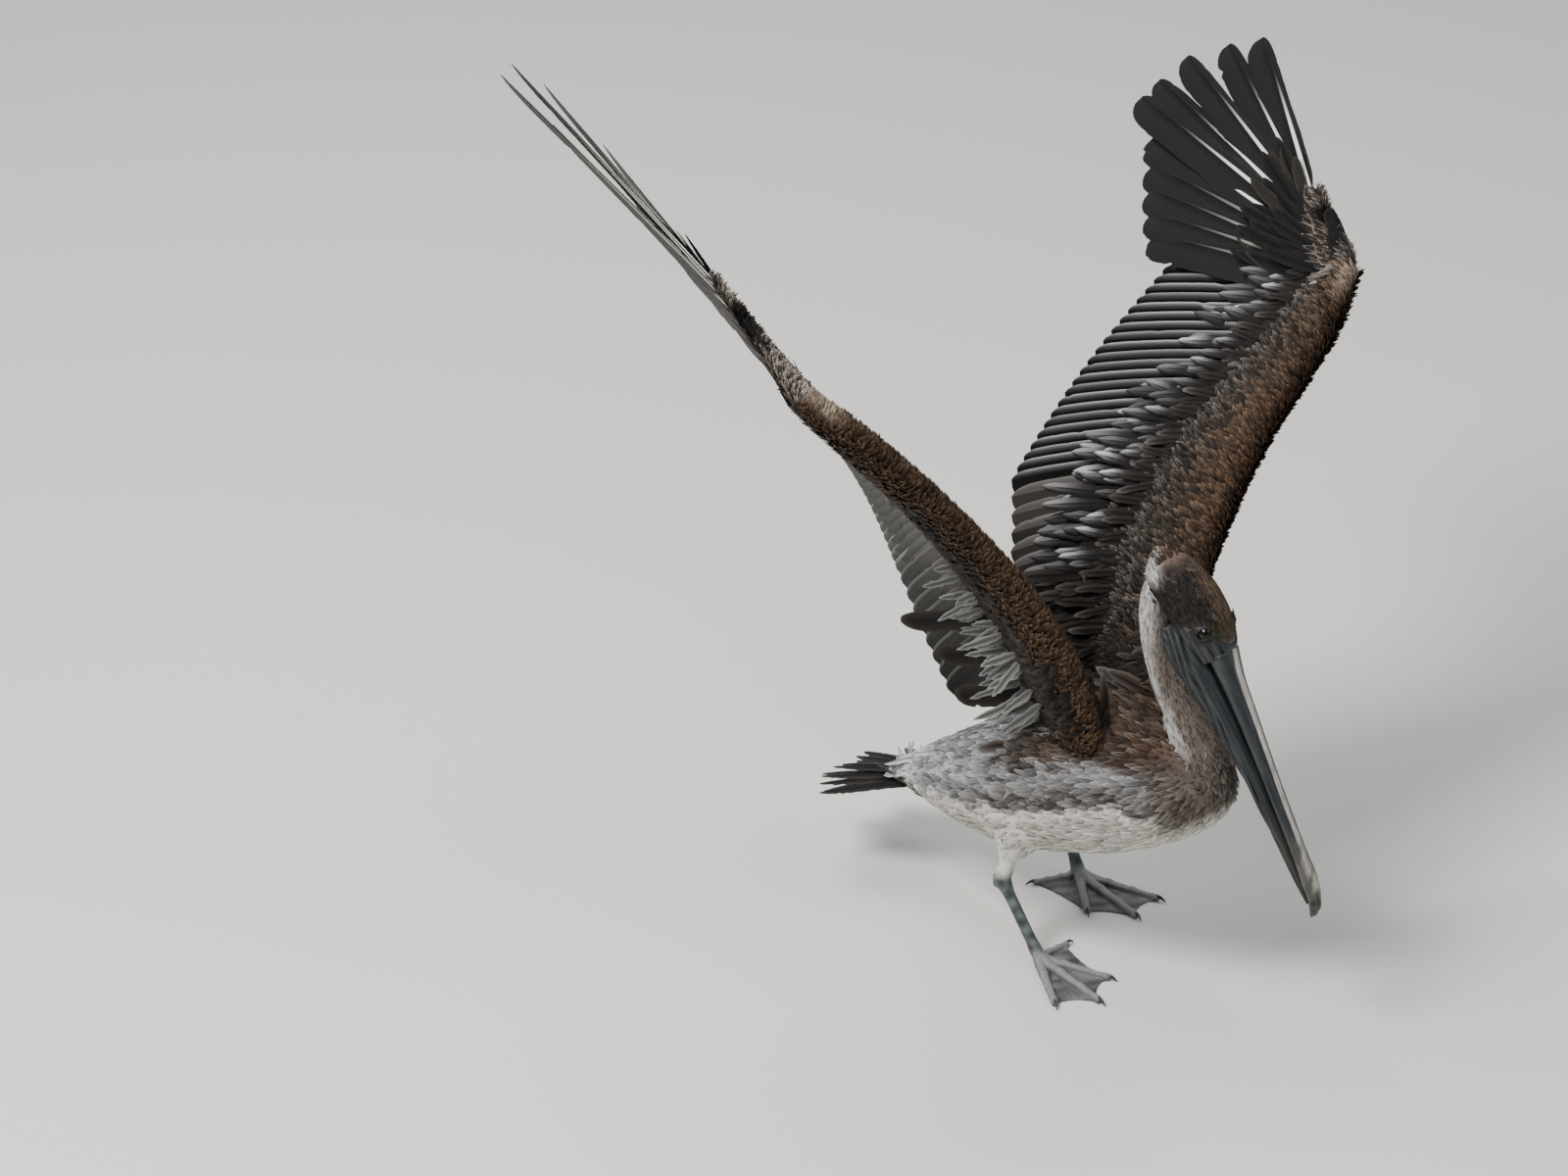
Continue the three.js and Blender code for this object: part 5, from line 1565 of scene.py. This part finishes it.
scapular_sets = []
for side in (-1, 1):
    for number, (height, reach, length) in enumerate((
            (0.226, 0.056, 0.060), (0.236, 0.046, 0.057), (0.244, 0.034, 0.053), (0.250, 0.020, 0.048),
            (0.254, 0.007, 0.044))):
        y = np.linspace(-0.100, 0.020, SCAPULARS_IN_ROW) + 0.0045 * (number % 2)
        way = xyz(0.10 * side + 0 * y, 1.0, -0.20)
        scapular_sets.append(body_row(
            xyz(side * reach, y, height - 0.25 * (y + 0.06)), way,
            length * np.linspace(0.80, 1.0, SCAPULARS_IN_ROW),
            0.0062, 0.0070, scapular_shade, 0.07 + 0.02 * number, 120 + number + 9 * side, roll=0.04,
            tip=0.50, blunt=1.7, bow=0.008, shaft=0.0007, ragged=0.06, jitter=0.10, stray=0.016,
            least_up=0.45))
feather_piece("scapulars", scapular_sets, covert_vane, "brown_plumage")

# %% Tail
TAIL_COUNT = 12
TAIL_SPREAD = 24
TAIL_DROP = -13
t = np.linspace(-1, 1, TAIL_COUNT)
tail_rng = np.random.default_rng(5)
tail_length = (0.121 - 0.011 * t**2) * (1 + 0.07 * tail_rng.normal(size=TAIL_COUNT))
tail_root = np.array([0, 0.168, 0.103]) + xyz(0.016 * t, -0.006 * np.abs(t), -0.003 * t**2)
tail_way = direction(180 - t * TAIL_SPREAD, TAIL_DROP)
tail_way = unit(tail_way + 0.035 * tail_rng.normal(size=tail_way.shape) * [1, 0, 0.6])
tail_set = many_feathers(
    tail_root, tail_way, xyz(0.25 * t, 0.25, 1), xyz(np.sign(t), 0, 0), tail_length, 0.0085, 0.0105,
    tail_tone, rings=26, bow=0.005, roll=0.08, tip=0.62, blunt=1.7, shaft=0.0013, splits=5, ragged=0.06,
    seed=130)
feather_piece("tail_feathers", [tail_set], flight_vane, "flight_feathers", "tail")
cover_sets = []
for above, tone in ((1, white_covert), (-1, under_covert)):
    for number, (y, count, length) in enumerate((
            (0.176, 13, 0.048), (0.158, 15, 0.040), (0.140, 17, 0.032))):
        turn = np.linspace(-1.1, 1.1, count)
        middle = through(TRUNK_Y, TRUNK_MIDDLE, y)
        starts = xyz(0.05 * np.sin(turn), y, middle + above * 0.05 * np.cos(turn))
        way = xyz(0.30 * np.sin(turn), 1.0, -0.20)
        cover_sets.append(body_row(starts, way, length, 0.0050, 0.0055, tone, 0.10, 140 + number + 7 * above,
                                   tip=0.45, blunt=1.4, arch=0.25, ragged=0.05))
feather_piece("tail_coverts", cover_sets, covert_vane, "belly_plumage")

# %% [markdown]
# ## The coat of small feathers
# Small contour feathers cover the rest like tiles: broad and soft on the trunk, narrow on the
# arms, short and velvety on the neck, and almost like hair on the head. Each is a small closed
# vane with a ridge for its shaft. Its root stands on the skin and its tip lies on the next ones.

# %% One small feather, many times
# Its corners lie in lines of three, at the left edge, the ridge and the right edge, and one at the tip.
LINE_PLACES = [0.0, 0.30, 0.66, 0.90]
SMALL_S = np.array([*np.repeat(LINE_PLACES, 3), 1.0])
SMALL_A = np.array([*np.tile([-1.0, 0.0, 1.0], len(LINE_PLACES)), 0.0])
SMALL_WIDE = np.array([*np.repeat([0.42, 1.0, 0.84, 0.44], 3), 0.0])
SMALL_ENDS = np.array([[9, 10, 12], [10, 11, 12], [11, 9, 12], [0, 2, 1]])
CURL = 0.10
RIDGE = 0.09
SHAFT_DARK = 0.30
UNEVEN = 0.16
PATCH = 0.003


def small_feathers(name, root, along, out, length, width, colour, fringe, place, lift, seed,
                   slot="brown_plumage"):
    """root, along, out, length, width, colour and fringe have one row for each feather. place is
    where each root lies on an unwrap of the skin, which the bake map uses."""
    rng = np.random.default_rng(seed)
    count = len(root)
    along = square_to(along, out)[:, None]
    side = np.cross(along, out[:, None])
    length, width, lift = (
        (np.broadcast_to(value, (count,)) * rng.uniform(low, high, count))[:, None]
        for value, low, high in ((length, 0.82, 1.16), (width, 0.85, 1.15), (lift, 0.55, 1.5)))
    s = SMALL_S[None]
    a = SMALL_A[None]
    sway = rng.normal(size=count)[:, None] * 0.10
    x = a * SMALL_WIDE * width / 2 + sway * s**2 * length
    rise = (lift * s - CURL * s**2) * length + ((a == 0) & (s < 1)) * RIDGE * SMALL_WIDE * width
    points = (root[:, None] + along * (s * length)[..., None] + side * x[..., None]
              + out[:, None] * rise[..., None])
    pick = rng.uniform(0, 1, count)[:, None]
    colour = colour * (1 + UNEVEN * rng.normal(size=count))[:, None]
    # Painted shade: each feather is darker toward its root, where the feathers above overlap it.
    root_shade = np.clip(0.45 + 0.55 * step(s, 0.0, 0.45), 0, 1)[..., None]
    tint = colour[:, None] * root_shade * (1 - SHAFT_DARK * (a == 0) * (s < 0.9))[..., None]
    rim = np.maximum(np.abs(a) * step(s, 0.2, 0.9), step(s, 0.82, 1.0))
    tint = tint + (fringe[:, None] - tint) * rim[..., None] * (0.15 + 0.85 * pick**2)[..., None]
    vane = np.stack([s * length, x, pick + 0 * x], axis=-1)
    uv = place[:, None] + PATCH * np.stack([s - 0.5, a * SMALL_WIDE / 2], axis=-1)
    offsets = (np.arange(count) * len(SMALL_S))[:, None, None]
    faces = [(offsets + shape).reshape(-1, shape.shape[1])
             for shape in (grid_faces(len(LINE_PLACES), 3), SMALL_ENDS)]
    sharp = np.tile(np.abs(SMALL_A) > 0.5, count)
    piece = make_piece(name, points.reshape(-1, 3), faces, [covert_vane], tint.reshape(-1, 3),
                       vane=vane.reshape(-1, 3), uv=uv.reshape(-1, 2), sharp=sharp)
    hand_over(piece, slot)


# %% Roots spread over the skin
NEIGHBOURS = [(i, j, k) for i in (-1, 0, 1) for j in (-1, 0, 1) for k in (-1, 0, 1)]
BARE_FROM = 0.35
FEET_BELOW = 0.066
face_region = skin_region[skin_faces[:, 0]]
face_middle = skin_points[skin_faces].mean(axis=1)
bare_faces = face_share[skin_faces[:, 0]] > BARE_FROM
foot_faces = face_middle[:, 2] < FEET_BELOW
skin_out = read(skin.data.vertices, "normal").astype(float)


def scatter(keep, spacing, seed):
    """Points spread evenly over the kept triangles of the skin, none nearer than the spacing."""
    rng = np.random.default_rng(seed)
    faces = skin_faces[keep]
    first, second, third = np.moveaxis(skin_points[faces], 1, 0)
    area = np.linalg.norm(np.cross(second - first, third - first), axis=1) / 2
    tries = int(area.sum() / spacing**2 * 4)
    chosen = rng.choice(len(faces), tries, p=area / area.sum())
    a, b = rng.uniform(0, 1, (2, tries))
    over_edge = a + b > 1
    a = np.where(over_edge, 1 - a, a)[:, None]
    b = np.where(over_edge, 1 - b, b)[:, None]
    first, second, third = first[chosen], second[chosen], third[chosen]
    points = first + a * (second - first) + b * (third - first)
    taken = {}
    kept = []
    cells = np.floor(points / spacing).astype(int)
    for number, (cell, p) in enumerate(zip(cells.tolist(), points.tolist())):
        near = (q for i, j, k in NEIGHBOURS for q in taken.get((cell[0] + i, cell[1] + j, cell[2] + k), ()))
        if all((p[0] - q[0]) ** 2 + (p[1] - q[1]) ** 2 + (p[2] - q[2]) ** 2 >= spacing**2 for q in near):
            taken.setdefault(tuple(cell), []).append(p)
            kept.append(number)
    return points[kept], unit(skin_out[faces[chosen[kept]]].mean(axis=1))


def astray(way, amount, seed):
    """Turns the way of each feather a little at random."""
    return way + amount * np.random.default_rng(seed).normal(size=way.shape)


def unwrap(along, around, low, high):
    """Length along a limb and angle round it, as a place on the bake map."""
    u = np.clip((along - low) / (high - low), 0, 1)
    v = (np.arctan2(*around) / WHOLE_TURN) % 1
    return 0.01 + 0.97 * np.stack([u, v], axis=-1)


# %% Feathers of the trunk
def trunk_way(p):
    """Backward along the trunk, and away from the neck at the breast."""
    from_neck = unit(unit(p - np.array([0, -0.172, 0.215])) + np.array([0, 0.35, -0.15]))
    return unit(mix(from_neck, unit([0, 1.0, -0.22]), step(p[:, 1], -0.155, -0.085)[:, None]))


BACK_FROM = 0.10
TRUNK_SPACING = 0.0040
high_faces = trunk_height(face_middle) > BACK_FROM
for name, chosen, length, width, lift, seed, slot in (
    ("back_feathers", high_faces, 0.021, 0.0056, 0.14, 201, "brown_plumage"),
    ("belly_feathers", ~high_faces, 0.018, 0.0052, 0.11, 202, "belly_plumage"),
):
    points, out = scatter(in_regions(face_region, "trunk") & chosen & ~foot_faces, TRUNK_SPACING, seed)
    x, y, z = points.T
    shorter = mix(0.60, 1.0, step(y, -0.19, -0.10)) * mix(1.0, 0.85, step(y, 0.03, 0.12))
    tint = trunk_colour(points)
    low = 0.5 * step(trunk_height(points), -0.1, -0.5)
    pale = painted(tint, (srgb(204, 200, 194), 0.30), (srgb(232, 232, 228), low))
    place = unwrap(y, (x, z - through(TRUNK_Y, TRUNK_MIDDLE, y)), -0.22, 0.21)
    way = astray(trunk_way(points), 0.14, seed)
    small_feathers(name, points - out * 0.0004, way, out, length * shorter, width * shorter, tint, pale,
                   place, lift, seed, slot)

# %% Feathers of the shoulders and thighs
SHOULDER_REACH = 0.085
THIGH_LOWEST = 0.084
from_shoulder = np.minimum(*[np.linalg.norm(face_middle - wing.shoulder, axis=1) for wing in WINGS.values()])
points, out = scatter(in_regions(face_region, "arm") & (from_shoulder < SHOULDER_REACH), 0.0045, 206)
x, y, z = points.T
tint = blend(srgb(82, 71, 64), srgb(34, 30, 29), np.random.default_rng(17).uniform(0, 1, len(points)))
place = unwrap(z + 0.09 * (x > 0), (y + 0.06, np.abs(x) - 0.06), 0.12, 0.45)
way = astray(same(unit([0, 1.0, -0.35]), len(points)), 0.2, 18)
small_feathers("shoulder_feathers", points - out * 0.0004, way, out, 0.022, 0.0062, tint,
               blend(tint, srgb(146, 136, 126), 0.4), place, 0.12, 206)
thigh_faces = in_regions(face_region, "thigh") & (face_middle[:, 2] > THIGH_LOWEST)
points, out = scatter(thigh_faces, 0.0040, 203)
x, y, z = points.T
tint = blend(trunk_colour(points), CREAM, step(z, 0.115, 0.085) * 0.8)
place = unwrap(z + 0.1 * (x > 0), (np.abs(x) - 0.055, y - 0.02), 0.04, 0.28)
shorter = mix(0.60, 1.0, step(z, THIGH_LOWEST, 0.110))
small_feathers("thigh_feathers", points - out * 0.0004, same(unit([0, 0.30, -1.0]), len(points)), out,
               0.0135 * shorter, 0.0056 * shorter, tint, blend(tint, srgb(236, 236, 232), 0.5), place, 0.05,
               203, "belly_plumage")

# %% Feathers of the neck
NECK_PATH = np.stack([np.zeros(10), NECK_Y, NECK_Z], axis=-1)
points, out = scatter(in_regions(face_region, "neck"), 0.00215, 204)
x, y, z = points.T
tint = neck_colour(points) * (1 + np.random.default_rng(12).normal(size=len(points)) * 0.16)[:, None]
lower = step(z, 0.255, 0.205)
middle = through(NECK_Z, NECK_PATH, z)
down = unit(through(NECK_Z, NECK_PATH, z - 0.01) - middle + np.array([0, 0, -0.004]))
place = unwrap(z, (x, y - middle[:, 1]), 0.15, 0.40)
small_feathers("neck_feathers", points - out * 0.0003, astray(down, 0.14, 13), out,
               mix(0.0080, 0.0135, lower), mix(0.0021, 0.0040, lower), tint,
               blend(tint, srgb(216, 212, 206), 0.22), place, 0.15, 204)

# %% Feathers of the head
points, out = scatter(in_regions(face_region, "head") & ~bare_faces, 0.00165, 205)
f, h, side = head_axes_of(points)
tint = head_colour(points) * (1 + 0.22 * np.random.default_rng(15).normal(size=len(points)))[:, None]
nape = step(f, -0.045, -0.066) * step(h, -0.034, -0.014)
at_edge = step(past_edge(f, h), -0.012, -0.001)
length = mix(mix(0.0072, 0.0150, nape), 0.0036, at_edge)
width = mix(mix(0.0016, 0.0024, nape), 0.0011, at_edge)
way = astray(-ahead - np.outer(step(h, 0.0, -0.02) * 0.35, crownward), 0.16, 14)
small_feathers("head_feathers", points - out * 0.0002, way, out, length, width, tint,
               blend(tint, srgb(176, 150, 128), 0.14), unwrap(f, (side, h + 0.012), -0.09, 0.03),
               mix(0.16, 0.42, nape), 205)


# %% Small coverts of the arms and hands
ARM_AROUND = 64
HAND_AROUND = 33
PARTING = -0.34


def arm_tint(along, turn, rng):
    """Warm brown at the leading edge, mottled grey-brown behind it, cream at the wrist. Darker below the wing,
    partly its own colour and partly painted shade.
    """
    fine = rng.uniform(0, 1, len(along))
    at = turn + 0.08 * np.sin(along * 9.0) + 0.05 * rng.normal(size=len(along))
    colour = painted(
        blend(WARM_BROWN, DEEP_BROWN, 0.85 * fine),
        (blend(srgb(84, 74, 66), srgb(38, 33, 31), fine), step(at, 0.17, 0.32)),
        (blend(srgb(112, 108, 106), srgb(52, 48, 46), fine), step(at, 0.52, 0.68)),
        # Darker below the wing: partly the feathers' own colour, partly painted shade.
        (blend(srgb(70, 56, 45), srgb(28, 23, 21), fine), step(at, -0.24, -0.40)),
        (blend(srgb(66, 60, 56), srgb(24, 22, 22), fine), step(along, 0.26, 0.08) * step(turn, 0.20, 0.32)),
        (blend(srgb(206, 194, 174), srgb(150, 130, 108), fine),
         step(along, 0.90, 0.97) * step(np.abs(turn), 0.22, 0.08)))
    fringe = blend(FRINGE_BROWN, srgb(140, 134, 128), step(turn, 0.30, 0.50))
    # The fringes below the wing are darker too, partly painted shade.
    return colour, blend(fringe, srgb(74, 62, 50), step(turn, -0.24, -0.38))


def hand_tint(along, turn, rng):
    """Pale mottles, and a black band near the end of the hand."""
    fine = rng.uniform(0, 1, len(turn))
    band = step(along, 0.62, 0.74) * step(along, 1.10, 1.0)
    mottled = blend(srgb(190, 178, 166), srgb(50, 42, 39), fine**0.7)
    colour = blend(mottled, blend(srgb(38, 34, 33), srgb(16, 15, 15), fine), 0.92 * band)
    return colour, blend(srgb(184, 172, 162), srgb(60, 54, 50), band)


def limb_coat(name, wing, place_on, tints, low, high, first_turn, last_turn, around, gap, length, width, seed):
    """Staggered rows of small feathers round a limb, from below the front edge to above it."""
    rng = np.random.default_rng(seed)
    arm = place_on is arm_place
    turns = last_turn - first_turn
    line_count = int((high - low) * (wing.reach if arm else HAND) / gap)
    t, a = np.meshgrid(np.linspace(first_turn, last_turn, around), np.arange(line_count), indexing="ij")
    shift = 0.5 * (np.arange(around) % 2)[:, None]
    along = (low + (high - low) * (a + shift + rng.uniform(-0.3, 0.3, a.shape)) / line_count).ravel()
    turn = (t + rng.uniform(-0.35, 0.35, t.shape) * turns / around).ravel()
    parting = PARTING + 0.07 * rng.normal(size=turn.shape)
    here, out, rearward, outward = surface_frame(place_on, wing, along, turn, COAT_DEPTH["arm"], parting)
    way = rearward + 0.45 * outward + 0.16 * rng.normal(size=here.shape)
    tint, fringe = tints(along, turn, np.random.default_rng(seed))
    place = 0.01 + 0.97 * np.stack([(along - low) / (high - low), (turn - first_turn) / turns], axis=-1)
    longer = mix(0.85, 1.10, step(np.abs(turn), 0.05, 0.45))
    raised = 0.20 * (step(along, 1.0, 0.94) if arm else 1)
    small_feathers(name, here - out * 0.0005, way, out, length * longer, width * longer, tint, fringe,
                   np.clip(place, 0.005, 0.995), raised, seed)


for name, wing in WINGS.items():
    limb_coat(f"arm_feathers_{name}", wing, arm_place, arm_tint, -0.05, 1.015, -0.66, 0.74, ARM_AROUND,
              0.0038, 0.0140, 0.0036, 210 + wing.side)
    limb_coat(f"hand_feathers_{name}", wing, hand_place, hand_tint, -0.06, 1.42, -0.55, 0.55, HAND_AROUND,
              0.0032, 0.0115, 0.0034, 220 + wing.side)

# %% [markdown]
